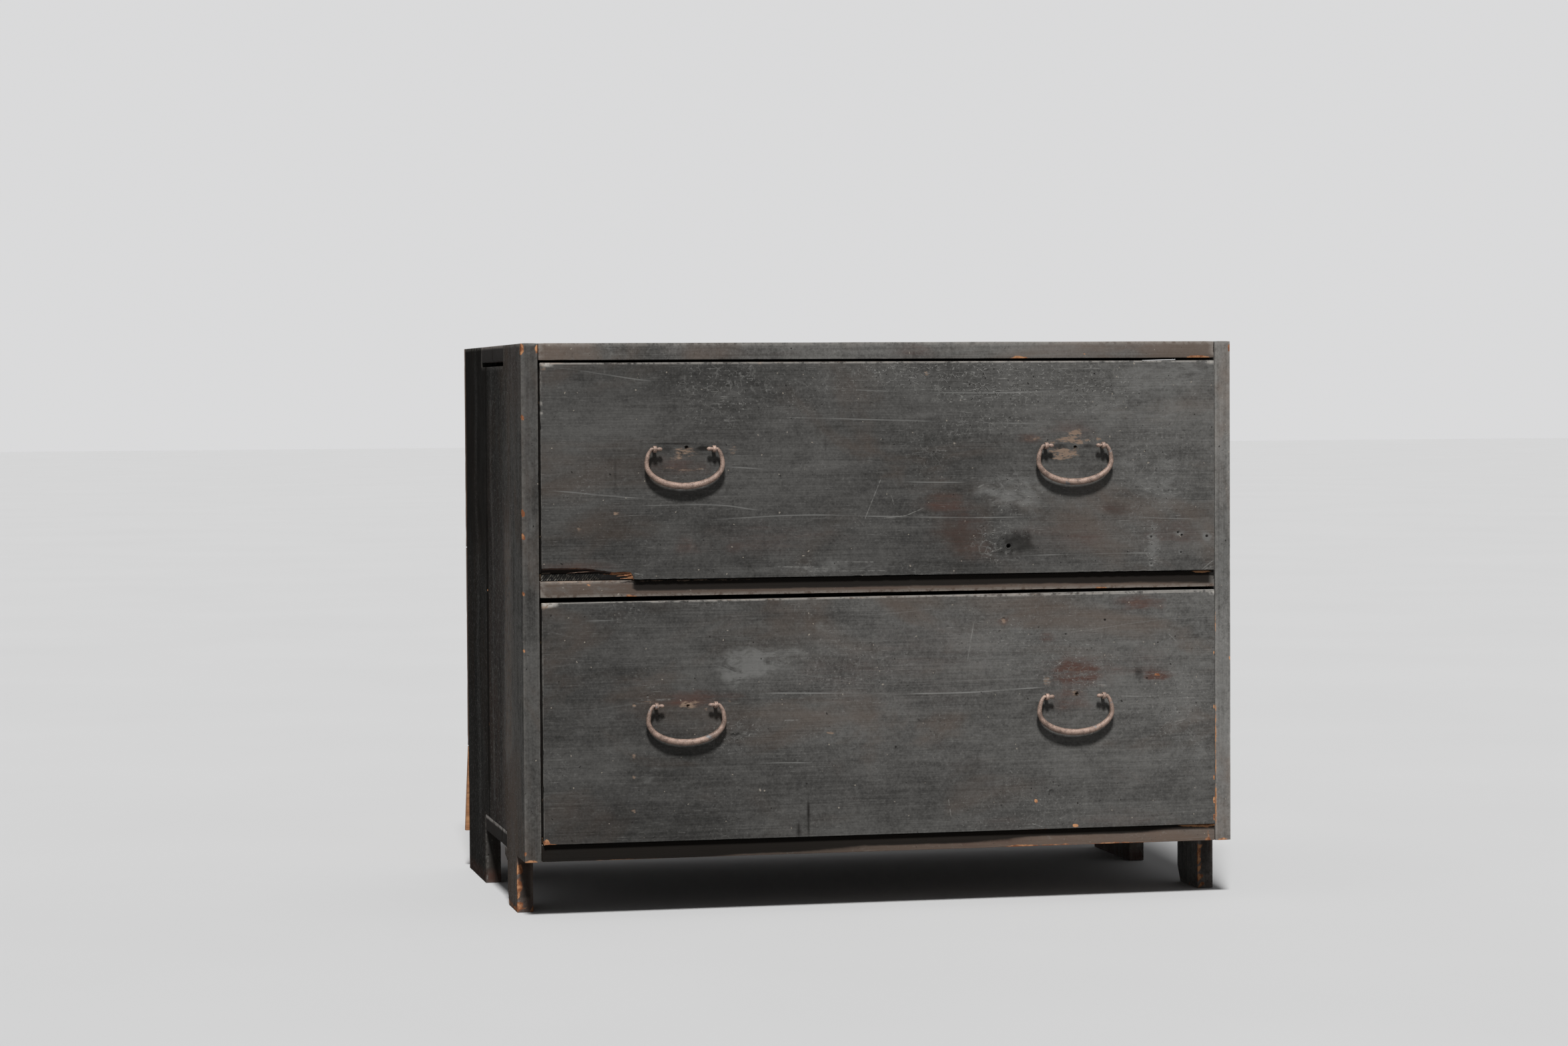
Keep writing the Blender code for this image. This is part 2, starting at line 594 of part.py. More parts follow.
def bail_path():
    """Returns half of a bail as points (across, height, radius) from its knob to its middle."""
    pin_x = PIN_SPACING / 2
    knob_x = pin_x - PIN_WIDTH / 2 - FIT_GAP - KNOB_RADIUS
    bend_x = pin_x + PIN_WIDTH / 2 + BAIL_STUB_LENGTH
    points = []
    for share, ring_share in zip(KNOB_STATION_SHARES, KNOB_RING_SHARES):
        points.append((knob_x + share * KNOB_RADIUS, 0, ring_share * KNOB_RADIUS))
    points.append((knob_x + KNOB_RADIUS, 0, BAIL_END_RADIUS))
    for step in range(BAIL_UPPER_STEPS):
        turn = math.pi / 2 * step / BAIL_UPPER_STEPS
        across = bend_x + (BAIL_HALF_WIDTH - bend_x) * math.sin(turn)
        height = -BAIL_WIDEST_DROP * (1 - math.cos(turn))
        radius = BAIL_END_RADIUS + (BAIL_WIDEST_RADIUS - BAIL_END_RADIUS) * step / BAIL_UPPER_STEPS
        points.append((across, height, radius))
    for step in range(BAIL_LOWER_STEPS + 1):
        turn = math.pi / 2 * step / BAIL_LOWER_STEPS
        across = BAIL_HALF_WIDTH * math.cos(turn)
        height = -BAIL_WIDEST_DROP - (BAIL_DROP - BAIL_WIDEST_DROP) * math.sin(turn)
        radius = BAIL_WIDEST_RADIUS + (BAIL_MIDDLE_RADIUS - BAIL_WIDEST_RADIUS) * math.sin(turn)
        points.append((across, height, radius))
    return points


def bail(name, parent, x, z, material):
    """Adds a tapered iron bail whose ends turn in through the pins and finish in knobs."""
    half = bail_path()
    stations = half + [(-across, height, radius) for across, height, radius in half[-2::-1]]
    mesh = bmesh.new()
    rings = []
    for index, (across, height, radius) in enumerate(stations):
        before = stations[max(index - 1, 0)]
        after = stations[min(index + 1, len(stations) - 1)]
        run = Vector((after[0] - before[0], 0, after[1] - before[1])).normalized()
        normal = Vector((run.z, 0, -run.x))
        centre = Vector((x + across, BAIL_AXIS_Y, z + height))
        ring = []
        for side in range(BAIL_SIDES):
            turn = 2 * math.pi * side / BAIL_SIDES
            offset = normal * math.cos(turn) + Vector((0, 1, 0)) * math.sin(turn)
            ring.append(mesh.verts.new(centre + radius * offset))
        rings.append(ring)
    close_rings(mesh, rings)
    item = add_object(name, mesh, (x, BAIL_AXIS_Y, z), parent, material)
    for face in item.data.polygons:
        face.use_smooth = True


def build():
    clear_scene()
    lacquered = finish("lacquered_case", (0.062, 0.056, 0.050), 0.55)
    front_finish = finish("lacquered_front", (0.075, 0.070, 0.066), 0.50)
    bare = finish("bare_cedar", (0.330, 0.205, 0.120), 0.75)
    back_finish = finish("bare_back", (0.390, 0.200, 0.095), 0.80)
    iron = finish("rusted_iron", (0.230, 0.150, 0.115), 0.65, 0.70)
    bamboo = finish("bamboo", (0.420, 0.300, 0.160), 0.60)
    materials = {"front": front_finish, "box": bare, "iron": iron, "peg": bamboo}

    chest = empty("chest", (0, -CENTRE_Y, 0))
    side_boards(chest, "left", -1, lacquered)
    side_boards(chest, "right", 1, lacquered)
    top_and_bottom(chest, lacquered)
    divider(chest, lacquered, bare)
    back(chest, back_finish, iron)
    drawer(
        chest, "upper_drawer", RAIL_TOP_Z, TOP_LOW_Z, (UPPER_TOP_GAP_LEFT, UPPER_TOP_GAP_RIGHT),
        UPPER_HANDLE_HEIGHT_SHARE, True, materials,
    )
    drawer(
        chest, "lower_drawer", FLOOR_TOP_Z, RAIL_LOW_Z, (LOWER_TOP_GAP_LEFT, LOWER_TOP_GAP_RIGHT),
        LOWER_HANDLE_HEIGHT_SHARE, False, materials,
    )


build()
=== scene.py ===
"""Looks of an old two-drawer chest of blackened softwood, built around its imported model.

Lengths are metres: x to the right, y to the back, z up from the floor.
"""
import math

import bmesh
import bpy
import numpy as np
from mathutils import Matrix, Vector, noise


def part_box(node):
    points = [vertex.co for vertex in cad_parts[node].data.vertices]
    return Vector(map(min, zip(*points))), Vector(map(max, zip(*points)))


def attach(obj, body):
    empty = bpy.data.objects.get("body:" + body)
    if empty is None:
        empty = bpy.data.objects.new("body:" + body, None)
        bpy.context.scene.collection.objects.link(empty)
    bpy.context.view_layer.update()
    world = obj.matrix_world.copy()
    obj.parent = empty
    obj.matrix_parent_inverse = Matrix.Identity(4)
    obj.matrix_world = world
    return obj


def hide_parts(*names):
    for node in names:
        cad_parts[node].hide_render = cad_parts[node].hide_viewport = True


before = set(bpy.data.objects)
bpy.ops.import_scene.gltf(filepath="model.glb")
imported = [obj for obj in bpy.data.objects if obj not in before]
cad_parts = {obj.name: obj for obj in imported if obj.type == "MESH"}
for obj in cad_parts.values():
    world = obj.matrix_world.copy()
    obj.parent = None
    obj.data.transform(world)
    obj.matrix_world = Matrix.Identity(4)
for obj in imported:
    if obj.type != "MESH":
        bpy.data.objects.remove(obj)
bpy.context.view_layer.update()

# Bottom of the case: two softwood boards side by side, whose ends pass through the sides between
# the feet. They are planed by hand and blackened outside, and the lower arris in front is worn
# down to orange wood.
FACE_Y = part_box("left_side_front_board")[0].y
TENON = (FACE_Y + 0.1573, FACE_Y + 0.3567)
SPAN_HALF = 0.4287
GRID = 0.005
ARRIS_ROWS = (0.0018, 0.0042)
ARRIS_ROUND = 0.0009
BRUSHED_DEPTH = 0.006
RAGGED_PITCH, FRAYED_PITCH = 45, 150
WAVE_PITCH, ROUGH_PITCH, FINE_PITCH = 9, 55, 160
END_X = 0.446
SHARP_ANGLE, SMOOTH_ANGLE = 0.35, math.radians(50)
CASE_HALF, CASE_HEIGHT = 0.450, 0.700
LAYERS = ("arris", "rubbed", "beige", "pale", "soot", "raw", "dented")

X, Y, Z = Vector((1, 0, 0)), Vector((0, 1, 0)), Vector((0, 0, 1))


def settled(name):
    """Names the piece that was just added and applies its place, turn and scale."""
    piece = bpy.context.object
    piece.name = name
    piece.data.name = name
    bpy.ops.object.transform_apply(location=True, rotation=True, scale=True)
    return piece


def saw_board(name, low, high):
    """Adds a squared board between two corners and leaves it in edit mode."""
    low, high = Vector(low), Vector(high)
    bpy.ops.object.select_all(action="DESELECT")
    bpy.ops.mesh.primitive_cube_add(size=1, location=(low + high) / 2, scale=high - low)
    board = settled(name)
    bpy.ops.object.mode_set(mode="EDIT")
    return board


def scribe(direction, *places):
    """Draws lines right round the edited board at places along a direction."""
    for place in places:
        bpy.ops.mesh.select_all(action="SELECT")
        bpy.ops.mesh.bisect(plane_co=direction * place, plane_no=direction)


def pick_faces(facing, within):
    """Selects the edited board's faces that look one way and whose middle passes a test."""
    bpy.ops.mesh.select_all(action="DESELECT")
    bpy.ops.mesh.select_mode(type="FACE")
    mesh = bmesh.from_edit_mesh(bpy.context.object.data)
    for face in mesh.faces:
        if face.normal.dot(facing) > 0.9 and within(face.calc_center_median()):
            face.select = True
    mesh.select_flush(True)
    bmesh.update_edit_mesh(bpy.context.object.data)


def pull(facing, distance, within):
    """Extrudes the faces that look one way, outwards or, with a negative distance, inwards."""
    pick_faces(facing, within)
    bpy.ops.mesh.extrude_region_move(TRANSFORM_OT_translate={"value": facing * distance})


def divide(spacing):
    """Divides the edited board's faces into a grid."""
    board = bpy.context.object
    bpy.ops.mesh.select_mode(type="EDGE")
    for axis, direction in enumerate((X, Y, Z)):
        mesh = bmesh.from_edit_mesh(board.data)
        stops = sorted({round(vert.co[axis], 5) for vert in mesh.verts})
        scribe(direction, *stops[1:-1])
        for start, end in zip(stops, stops[1:]):
            cuts = round((end - start) / spacing) - 1
            if cuts < 1:
                continue
            bpy.ops.mesh.select_all(action="DESELECT")
            mesh = bmesh.from_edit_mesh(board.data)
            for edge in mesh.edges:
                ends = sorted(vert.co[axis] for vert in edge.verts)
                edge.select = abs(ends[0] - start) < 1e-5 and abs(ends[1] - end) < 1e-5
            bmesh.update_edit_mesh(board.data)
            bpy.ops.mesh.subdivide(number_cuts=cuts)


def round_arrises(width):
    """Rounds the edited board's outward corners, leaves edit mode and marks the arrises."""
    board = bpy.context.object
    bpy.ops.mesh.select_mode(type="EDGE")
    bpy.ops.mesh.select_all(action="DESELECT")
    mesh = bmesh.from_edit_mesh(board.data)
    for edge in mesh.edges:
        edge.select = edge.is_manifold and edge.is_convex and edge.calc_face_angle() > SHARP_ANGLE
    bmesh.update_edit_mesh(board.data)
    bpy.ops.mesh.bevel(offset=width, segments=2, profile=0.6)
    mesh = bmesh.from_edit_mesh(board.data)
    worn = [vert.index for vert in mesh.verts if vert.select]
    bpy.ops.object.mode_set(mode="OBJECT")
    for layer in LAYERS:
        board.data.attributes.new(layer, "FLOAT", "POINT")
    for index in worn:
        board.data.attributes["arris"].data[index].value = 1.0


def take(*boards):
    """Selects boards and makes the last of them the active one."""
    bpy.ops.object.select_all(action="DESELECT")
    for board in boards:
        board.select_set(True)
    bpy.context.view_layer.objects.active = boards[-1]


def rows_of(board, what):
    """Returns a measure of three numbers for each point of a board."""
    values = np.zeros(len(board.data.vertices) * 3)
    board.data.vertices.foreach_get(what, values)
    return values.reshape(-1, 3)


def places_of(board):
    """Returns the points of a board as rows of x, y and z."""
    return rows_of(board, "co")


def move_to(board, points):
    """Puts the points of a board in new places."""
    board.data.vertices.foreach_set("co", points.ravel())
    board.data.update()


def read_layer(board, layer):
    """Returns a layer of the finish, one value for each point of a board."""
    values = np.zeros(len(board.data.vertices))
    board.data.attributes[layer].data.foreach_get("value", values)
    return values


def write_layer(board, layer, values):
    """Sets a layer of the finish, one value for each point of a board."""
    board.data.attributes[layer].data.foreach_set("value", values.astype(np.float32))


def paint(board, **marks):
    """Brushes ragged spots (x, z, half width, half height, strength) in mm on a board's front."""
    points = places_of(board)
    front = points[:, 1] < points[:, 1].min() + BRUSHED_DEPTH
    ragged = np.array([
        noise.noise(Vector(point) * RAGGED_PITCH) + 0.5 * noise.noise(Vector(point) * FRAYED_PITCH)
        for point in points
    ])
    for layer, spots in marks.items():
        values = read_layer(board, layer)
        for x, z, half_width, half_height, strength in spots:
            across = (points[:, 0] * 1000 - x) / half_width
            up = (points[:, 2] * 1000 - z) / half_height
            reach = np.hypot(across, up) + 0.45 * ragged
            values = np.maximum(values, np.where(front, strength * np.clip(1.5 - reach, 0, 1), 0))
        write_layer(board, layer, values)


def paint_where(board, layer, strength):
    """Sets a layer of the finish from a function of each point."""
    marks = np.array([strength(Vector(point)) for point in places_of(board)])
    write_layer(board, layer, np.maximum(read_layer(board, layer), marks))


def plain_arris(board, within):
    """Takes the wear off the arrises that pass a test, where nothing ever touches them."""
    kept = np.array([not within(Vector(point)) for point in places_of(board)])
    write_layer(board, "arris", read_layer(board, "arris") * kept)


def wear(board, seed, wave=0.0004, nick=0.0016):
    """Makes the faces gently uneven and the arrises soft and nicked, as hand planes and use do."""
    points, normals = places_of(board), rows_of(board, "normal")
    low, high = points.min(axis=0), points.max(axis=0)
    arris = read_layer(board, "arris")
    shift = Vector((seed * 3.7, seed * 1.9, seed * 5.3))
    for index, point in enumerate(points):
        place = Vector(point) + shift
        inwards = wave * (0.5 + 0.5 * noise.noise(place * WAVE_PITCH))
        if arris[index] > 0:
            rough = noise.noise(place * ROUGH_PITCH) + 0.35 * noise.noise(place * FINE_PITCH)
            inwards += arris[index] * nick * (0.18 + max(0.0, rough - 0.30))
        points[index] = point - normals[index] * inwards
    move_to(board, np.clip(points, low, high))


class Finish:
    """A material while it is mixed: each method adds one step and returns its output."""

    def __init__(self, name):
        self.material = bpy.data.materials.new(name)
        self.material.use_nodes = True
        self.tree = self.material.node_tree
        self.shader = self.tree.nodes["Principled BSDF"]

    def feed(self, socket, value):
        """Gives a step's input another step's output, or a plain value."""
        if isinstance(value, bpy.types.NodeSocket):
            self.tree.links.new(value, socket)
        else:
            socket.default_value = value

    def node(self, kind, inputs, output=0, **settings):
        """Adds a step of any kind."""
        made = self.tree.nodes.new("ShaderNode" + kind)
        for setting, value in settings.items():
            setattr(made, setting, value)
        for socket, value in inputs.items():
            self.feed(made.inputs[socket], value)
        return made.outputs[output]

    def math(self, operation, *values):
        return self.node("Math", dict(enumerate(values)), operation=operation)

    def vector(self, operation, first, second, output=0):
        return self.node("VectorMath", {0: first, 1: second}, output, operation=operation)

    def place(self, shift=(0, 0, 0)):
        """The place on the piece, moved so that no two boards show the same figure."""
        return self.vector("ADD", self.node("TexCoord", {}, output="Object"), shift)

    def axis(self, place, number):
        return self.node("SeparateXYZ", {0: place}, number)

    def layer(self, name):
        """What was painted on the points of the piece."""
        return self.node("Attribute", {}, output="Fac", attribute_name=name)

    def cloud(self, place, scale, detail=4.0, roughness=0.6, distortion=0.0):
        """Soft blotches without a direction."""
        inputs = {"Vector": place, "Scale": scale, "Detail": detail}
        inputs.update({"Roughness": roughness, "Distortion": distortion})
        return self.node("TexNoise", inputs)

    def grained(self, place, along, lengthways, crossways, detail=3.0, roughness=0.6, distortion=0.0):
        """A cloud drawn out along the grain."""
        scale = tuple(lengthways if axis == along else crossways for axis in range(3))
        return self.cloud(self.vector("MULTIPLY", place, scale), 1.0, detail, roughness, distortion)

    def fade(self, value, low, high):
        """Runs smoothly from 0 at low to 1 at high, or the other way round."""
        inputs = {"Value": value, "From Min": low, "From Max": high}
        return self.node("MapRange", inputs, interpolation_type="SMOOTHSTEP")

    def sway(self, value, amount):
        """Turns a cloud's value into a change up or down."""
        return self.math("MULTIPLY_ADD", value, amount, -amount / 2)

    def sum(self, first, second):
        return self.math("ADD", first, second)

    def most(self, first, second):
        return self.math("MAXIMUM", first, second)

    def clamp(self, value):
        return self.node("Math", {0: value, 1: 0.0}, operation="ADD", use_clamp=True)

    def times(self, first, second):
        if isinstance(first, bpy.types.NodeSocket) and first.type in ("RGBA", "VECTOR"):
            return self.node("VectorMath", {0: first, "Scale": second}, operation="SCALE")
        return self.math("MULTIPLY", first, second)

    def blend(self, *parts, start=None):
        """Adds patterns up, each times its share."""
        for value, share in parts:
            part = self.times(value, share)
            start = part if start is None else self.sum(start, part)
        return start

    def tint(self, colour):
        return colour if isinstance(colour, bpy.types.NodeSocket) else (*colour, 1.0)

    def over(self, under, colour, amount, share=None):
        """Lays a colour over another."""
        if share is not None:
            amount = self.times(amount, share)
        inputs = {"Factor": amount, 6: self.tint(under), 7: self.tint(colour)}
        return self.node("Mix", inputs, output=2, data_type="RGBA")

    def darken(self, under, value):
        inputs = {"Factor": 1.0, 6: self.tint(under), 7: value}
        return self.node("Mix", inputs, output=2, data_type="RGBA", blend_type="MULTIPLY")

    def relief(self, height, distance, strength):
        return self.node("Bump", {"Height": height, "Distance": distance, "Strength": strength})

    def done(self, colour, roughness, normal, **constants):
        self.feed(self.shader.inputs["Base Color"], colour)
        self.feed(self.shader.inputs["Roughness"], roughness)
        self.feed(self.shader.inputs["Normal"], normal)
        for socket, value in constants.items():
            self.shader.inputs[socket.replace("_", " ")].default_value = value
        return self.material


RAW_SOFTWOOD, RAW_DARK = (0.480, 0.245, 0.125), (0.190, 0.075, 0.038)
LACQUER_DARK, LACQUER_LIGHT = (0.022, 0.0212, 0.0198), (0.094, 0.0915, 0.0865)
LACQUER_BROWN = (0.070, 0.052, 0.041)
RUBBED_THROUGH = (0.078, 0.042, 0.033)
WORN_BEIGE = (0.225, 0.160, 0.118)
SCUFFED = (0.160, 0.158, 0.151)
# The darkest colour: laid on for sooty dirt and also for painted shade.
SOOT_AND_SHADE = (0.010, 0.009, 0.008)
CHIP_GREY, CHIP_TAN = (0.27, 0.265, 0.25), (0.31, 0.275, 0.23)
SCRATCH_GREY, EDGE_GREY = (0.26, 0.255, 0.24), (0.44, 0.415, 0.38)


def growth_rings(wood, place, along):
    """Long thin lines that run along the board, sloping and fading in and out."""
    bends = wood.grained(place, along, 1.6, 7.0, 2.0, 0.5)
    rings = wood.blend((wood.axis(place, 1 if along == 2 else 2), 26.0), (bends, 3.2))
    ring = wood.math("SUBTRACT", wood.math("FRACT", rings), 0.5)
    line = wood.fade(wood.math("ABSOLUTE", ring), 0.020, 0.004)
    shown = wood.grained(place, along, 2.5, 18.0)
    return wood.times(line, wood.fade(shown, 0.50, 0.66))


def drawn_line(wood, place, line):
    """One long pale line through some places (x, z) in millimetres, thin and broken."""
    across = wood.axis(place, 0)
    share = wood.node("MapRange", {"Value": across, "From Min": -CASE_HALF, "From Max": CASE_HALF})
    curve = wood.tree.nodes.new("ShaderNodeFloatCurve")
    wood.feed(curve.inputs["Value"], share)
    points = curve.mapping.curves[0].points
    ends = [((x / 1000 / CASE_HALF + 1) / 2, z / 1000 / CASE_HEIGHT) for x, z in line]
    points[0].location, points[1].location = (0, ends[0][1]), (1, ends[-1][1])
    for end in ends:
        points.new(*end)
    curve.mapping.update()
    height = wood.times(curve.outputs[0], CASE_HEIGHT)
    gap = wood.math("ABSOLUTE", wood.math("SUBTRACT", wood.axis(place, 2), height))
    mask = wood.fade(gap, 0.0011, 0.0003)
    mask = wood.times(mask, wood.fade(share, ends[0][0] - 0.01, ends[0][0] + 0.02))
    return wood.times(mask, wood.fade(share, ends[-1][0] + 0.01, ends[-1][0] - 0.02))


def drawn_scratch(wood, place, start, end, width):
    """One straight scratch between two places (x, z) in millimetres."""
    start, end = (Vector((x / 1000, 0, z / 1000)) for x, z in (start, end))
    run = end - start
    from_start = wood.vector("SUBTRACT", wood.vector("MULTIPLY", place, (1, 0, 1)), start)
    along = wood.clamp(wood.vector("DOT_PRODUCT", from_start, run / run.length_squared, "Value"))
    nearest = wood.node("VectorMath", {0: run, "Scale": along}, operation="SCALE")
    gap = wood.vector("DISTANCE", from_start, nearest, "Value")
    return wood.fade(gap, width / 1000, width / 3000)


def blackened_wood(
    name, along, shift, brown=0.35, weathered=0.0, lines=(), scratches=(), tone_and_light_gradients=(), shine=0.10,
):
    """Softwood wiped with black lacquer: streaked, clouded, rubbed brown and worn pale."""
    wood = Finish(name)
    here, place = wood.place(), wood.place(shift)
    clouds = wood.grained(place, along, 4.0, 8.0, 5.0)
    patches = wood.grained(place, along, 16.0, 30.0, 4.0, 0.65, 0.6)
    streaks = wood.grained(place, along, 2.6, 120.0, 5.0)
    threads = wood.grained(place, along, 5.0, 330.0)
    fibres = wood.grained(place, along, 16.0, 800.0)
    mottle = wood.cloud(place, 150.0, 3.0, 0.7)
    rough = wood.times(wood.layer("dented"), weathered)

    # The coat itself, with the growth rings and long lines that show through it
    tone = wood.sum(wood.sway(clouds, 0.9), wood.sway(patches, 0.6))
    for pattern, plain, where_rough in (
        (streaks, 0.28, 0.8), (threads, 0.32, 0.5), (fibres, 0.31, 0.5), (mottle, 0.50, 0.6),
        (wood.cloud(place, 62.0, 4.0, 0.75), 0.0, 1.3),
    ):
        strength = wood.sum(wood.times(rough, where_rough), plain)
        tone = wood.sum(tone, wood.times(wood.sway(pattern, 1.0), strength))
    tone = wood.sum(wood.sum(tone, wood.sway(wood.cloud(place, 420.0, 2.0, 0.5), 0.42)), 0.5)
    colour = wood.over(LACQUER_DARK, LACQUER_LIGHT, wood.fade(tone, 0.05, 0.95))
    browned = wood.grained(place, along, 4.0, 9.0, 4.0, 0.6, 0.8)
    browned = wood.fade(browned, 0.62 - 0.30 * brown, 0.80 - 0.22 * brown)
    colour = wood.over(colour, LACQUER_BROWN, browned, min(0.95, 0.35 + 0.5 * brown))
    lining = wood.times(growth_rings(wood, place, along), 0.25)
    shown = wood.fade(wood.grained(place, along, 9.0, 30.0, 2.0, 0.5), 0.40, 0.60)
    for line in lines:
        lining = wood.most(lining, wood.times(drawn_line(wood, here, line), wood.times(shown, 0.70)))
    colour = wood.over(colour, SCUFFED, lining)
    # Broad gradients along one axis of the piece, partly the coat's own unevenness and partly painted light:
    # lighter where more light falls, darker where less does.
    for axis, start, end, change in tone_and_light_gradients:
        reach = wood.fade(wood.axis(here, axis), start, end)
        colour = wood.times(colour, wood.sum(wood.times(reach, change), 1.0))

    # Brown, pale and beige wear, sooty dirt and painted shade where the layers call for it
    rubs = wood.grained(place, along, 15.0, 95.0, 5.0, 0.7, 0.8)
    rub = wood.times(wood.layer("rubbed"), wood.sum(wood.sway(rubs, 2.2), wood.times(patches, 1.3)))
    rub = wood.times(rub, wood.fade(streaks, 0.0, 0.56))
    colour = wood.over(colour, RUBBED_THROUGH, wood.fade(rub, 0.0, 1.1), 0.9)
    wisps = wood.grained(place, along, 34.0, 75.0, 5.0, 0.7, 1.2)
    scuff = wood.times(wood.layer("pale"), wood.sum(wood.sway(wisps, 3.2), wood.times(patches, 1.2)))
    colour = wood.over(colour, SCUFFED, wood.fade(scuff, 0.05, 1.0), 0.75)
    soot_and_shade_cover = wood.times(wood.layer("soot"), wood.sum(0.3, wood.times(patches, 1.3)))
    colour = wood.over(colour, SOOT_AND_SHADE, wood.fade(soot_and_shade_cover, 0.15, 1.0), 0.94)
    crumbs = wood.grained(place, along, 150.0, 420.0)
    beige = wood.times(wood.layer("beige"), wood.sum(wood.sway(crumbs, 2.6), 0.62))
    colour = wood.over(colour, WORN_BEIGE, wood.fade(beige, 0.30, 0.95), 0.9)

    # Dents, flecks and short strokes where the lacquer has chipped off, each stroke with a painted shadow
    # under it
    busy = wood.times(wood.fade(wood.cloud(place, 13.0, 2.0, 0.5), 0.52, 0.75), 0.4)
    busy = wood.most(busy, wood.layer("dented"))
    clean = wood.fade(wood.layer("soot"), 0.9, 0.3)
    turns = wood.node("TexNoise", {"Vector": place, "Scale": 60.0, "Detail": 2.0}, output="Color")
    bent = wood.vector("ADD", place, wood.times(turns, 0.012))
    # The same strokes 0.9 mm lower, laid on dark, are painted shadows under them.
    stroke_shadow_place = wood.vector("ADD", bent, (0.0, 0.0, 0.0009))
    pieces = wood.fade(wood.cloud(place, 160.0, 2.0, 0.5), 0.48, 0.58)
    rims = []
    for at, wide, narrow in ((bent, 0.085, 0.02), (stroke_shadow_place, 0.095, 0.03)):
        rim = wood.node("TexVoronoi", {"Vector": at, "Scale": 130.0}, feature="DISTANCE_TO_EDGE")
        rims.append(wood.times(wood.times(wood.fade(rim, wide, narrow), pieces), busy))
    flecks = wood.fade(wood.cloud(place, 300.0, 2.0, 0.5), 0.645, 0.70)
    flecks = wood.times(flecks, wood.times(wood.sum(0.12, busy), 1.0 - 1.2 * weathered))
    dashes = wood.fade(wood.grained(place, along, 60.0, 900.0, 2.0, 0.5), 0.66, 0.76)
    dashes = wood.times(dashes, wood.sum(0.3, busy))
    marks = wood.clamp(wood.sum(wood.sum(flecks, dashes), wood.times(rims[0], 0.8)))
    colour = wood.over(colour, CHIP_GREY, wood.times(marks, clean), 0.70)
    pits = wood.fade(wood.cloud(place, 260.0, 2.0, 0.5), 0.31, 0.24)
    shades = wood.sum(wood.times(rims[1], 0.5), wood.times(pits, wood.sum(0.35, busy)))
    colour = wood.over(colour, SOOT_AND_SHADE, shades, 0.75)
    chips = wood.fade(wood.node("TexVoronoi", {"Vector": bent, "Scale": 62.0}), 0.070, 0.040)
    colour = wood.over(colour, CHIP_TAN, wood.times(chips, clean), 0.7)
    holes = wood.fade(wood.node("TexVoronoi", {"Vector": bent, "Scale": 47.0}), 0.062, 0.040)
    colour = wood.over(colour, SOOT_AND_SHADE, holes, 0.8)
    for start, end, width in scratches:
        scratch = wood.times(drawn_scratch(wood, here, start, end, width), wood.fade(mottle, 0.35, 0.60))
        colour = wood.over(colour, SCRATCH_GREY, scratch, 0.45)

    # Worn arrises and bare wood
    edge_noise = wood.cloud(place, 110.0, 4.0, 0.7)
    edge = wood.times(wood.layer("arris"), wood.fade(edge_noise, 0.36, 0.54))
    colour = wood.over(colour, EDGE_GREY, edge, 0.28 - 0.33 * weathered)
    bare = wood.times(wood.layer("raw"), wood.sum(0.35, wood.times(edge_noise, 1.3)))
    grain = wood.fade(wood.sum(streaks, wood.sway(mottle, 0.9)), 0.38, 0.66)
    colour = wood.over(colour, wood.over(RAW_SOFTWOOD, RAW_DARK, grain), wood.fade(bare, 0.50, 0.75))

    height = wood.blend((streaks, 0.6), (threads, 0.5), (fibres, 0.3), (mottle, 0.35))
    height = wood.times(height, wood.sum(wood.times(rough, 3.0), 1.0))
    height = wood.sum(height, wood.times(shades, -1.0))
    roughness = wood.blend(
        (patches, 0.25), (bare, 0.15), (wood.layer("soot"), 0.30), start=0.42 + 0.45 * weathered,
    )
    return wood.done(colour, roughness, wood.relief(height, 0.0005, 0.8), Specular_IOR_Level=shine)


def finish_piece(board, material, body, slot, *nodes):
    """Gives a piece its finish, sets it on its body and puts it in the place of its CAD nodes."""
    board.data.materials.clear()
    board.data.materials.append(material)
    take(board)
    bpy.ops.object.shade_smooth_by_angle(angle=SMOOTH_ANGLE)
    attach(board, body)
    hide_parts(*nodes)


def cross_board(name, node, tenon, seed):
    """Adds a board that runs from side to side, with a tenon between two depths at each end."""
    low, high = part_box(node)
    board = saw_board(name, (-SPAN_HALF, low.y, low.z), (SPAN_HALF, high.y, high.z))
    start_y, end_y = max(tenon[0], low.y), min(tenon[1], high.y)
    scribe(Y, start_y, end_y)
    for side in (X, -X):
        pull(side, high.x - SPAN_HALF, lambda middle: start_y < middle.y < end_y)
    scribe(Y, *(low.y + row for row in ARRIS_ROWS))
    divide(GRID)
    round_arrises(ARRIS_ROUND)
    wear(board, seed)
    return board


def band(value, low, high, soft):
    """Is 1 between two places and fades out over a soft width beyond them."""
    return min(1.0, max(0.0, (value - low) / soft + 1), max(0.0, (high - value) / soft + 1))


def painted_drawer_shadow(point, edge):
    """Painted shadow on the front of a rail down to an edge (x, z): the shade that a drawer standing proud
    casts on it.
    """
    if point.y > FACE_Y + 0.0015:
        return 0.0
    height = float(np.interp(point.x, [x for x, _ in edge], [z for _, z in edge]))
    return band(point.z, height, 1.0, 0.0028)


def dull_ends(board, plain_below, soot_below):
    """Leaves the ends of the tenons brown and darker, with arrises unworn because nothing ever rubs them."""

    def at_end(point, top):
        return abs(point.x) > END_X and point.z < top

    plain_arris(board, lambda point: at_end(point, plain_below))
    paint_where(board, "rubbed", lambda point: 0.8 * at_end(point, 1.0))
    paint_where(board, "soot", lambda point: 1.3 * at_end(point, soot_below))
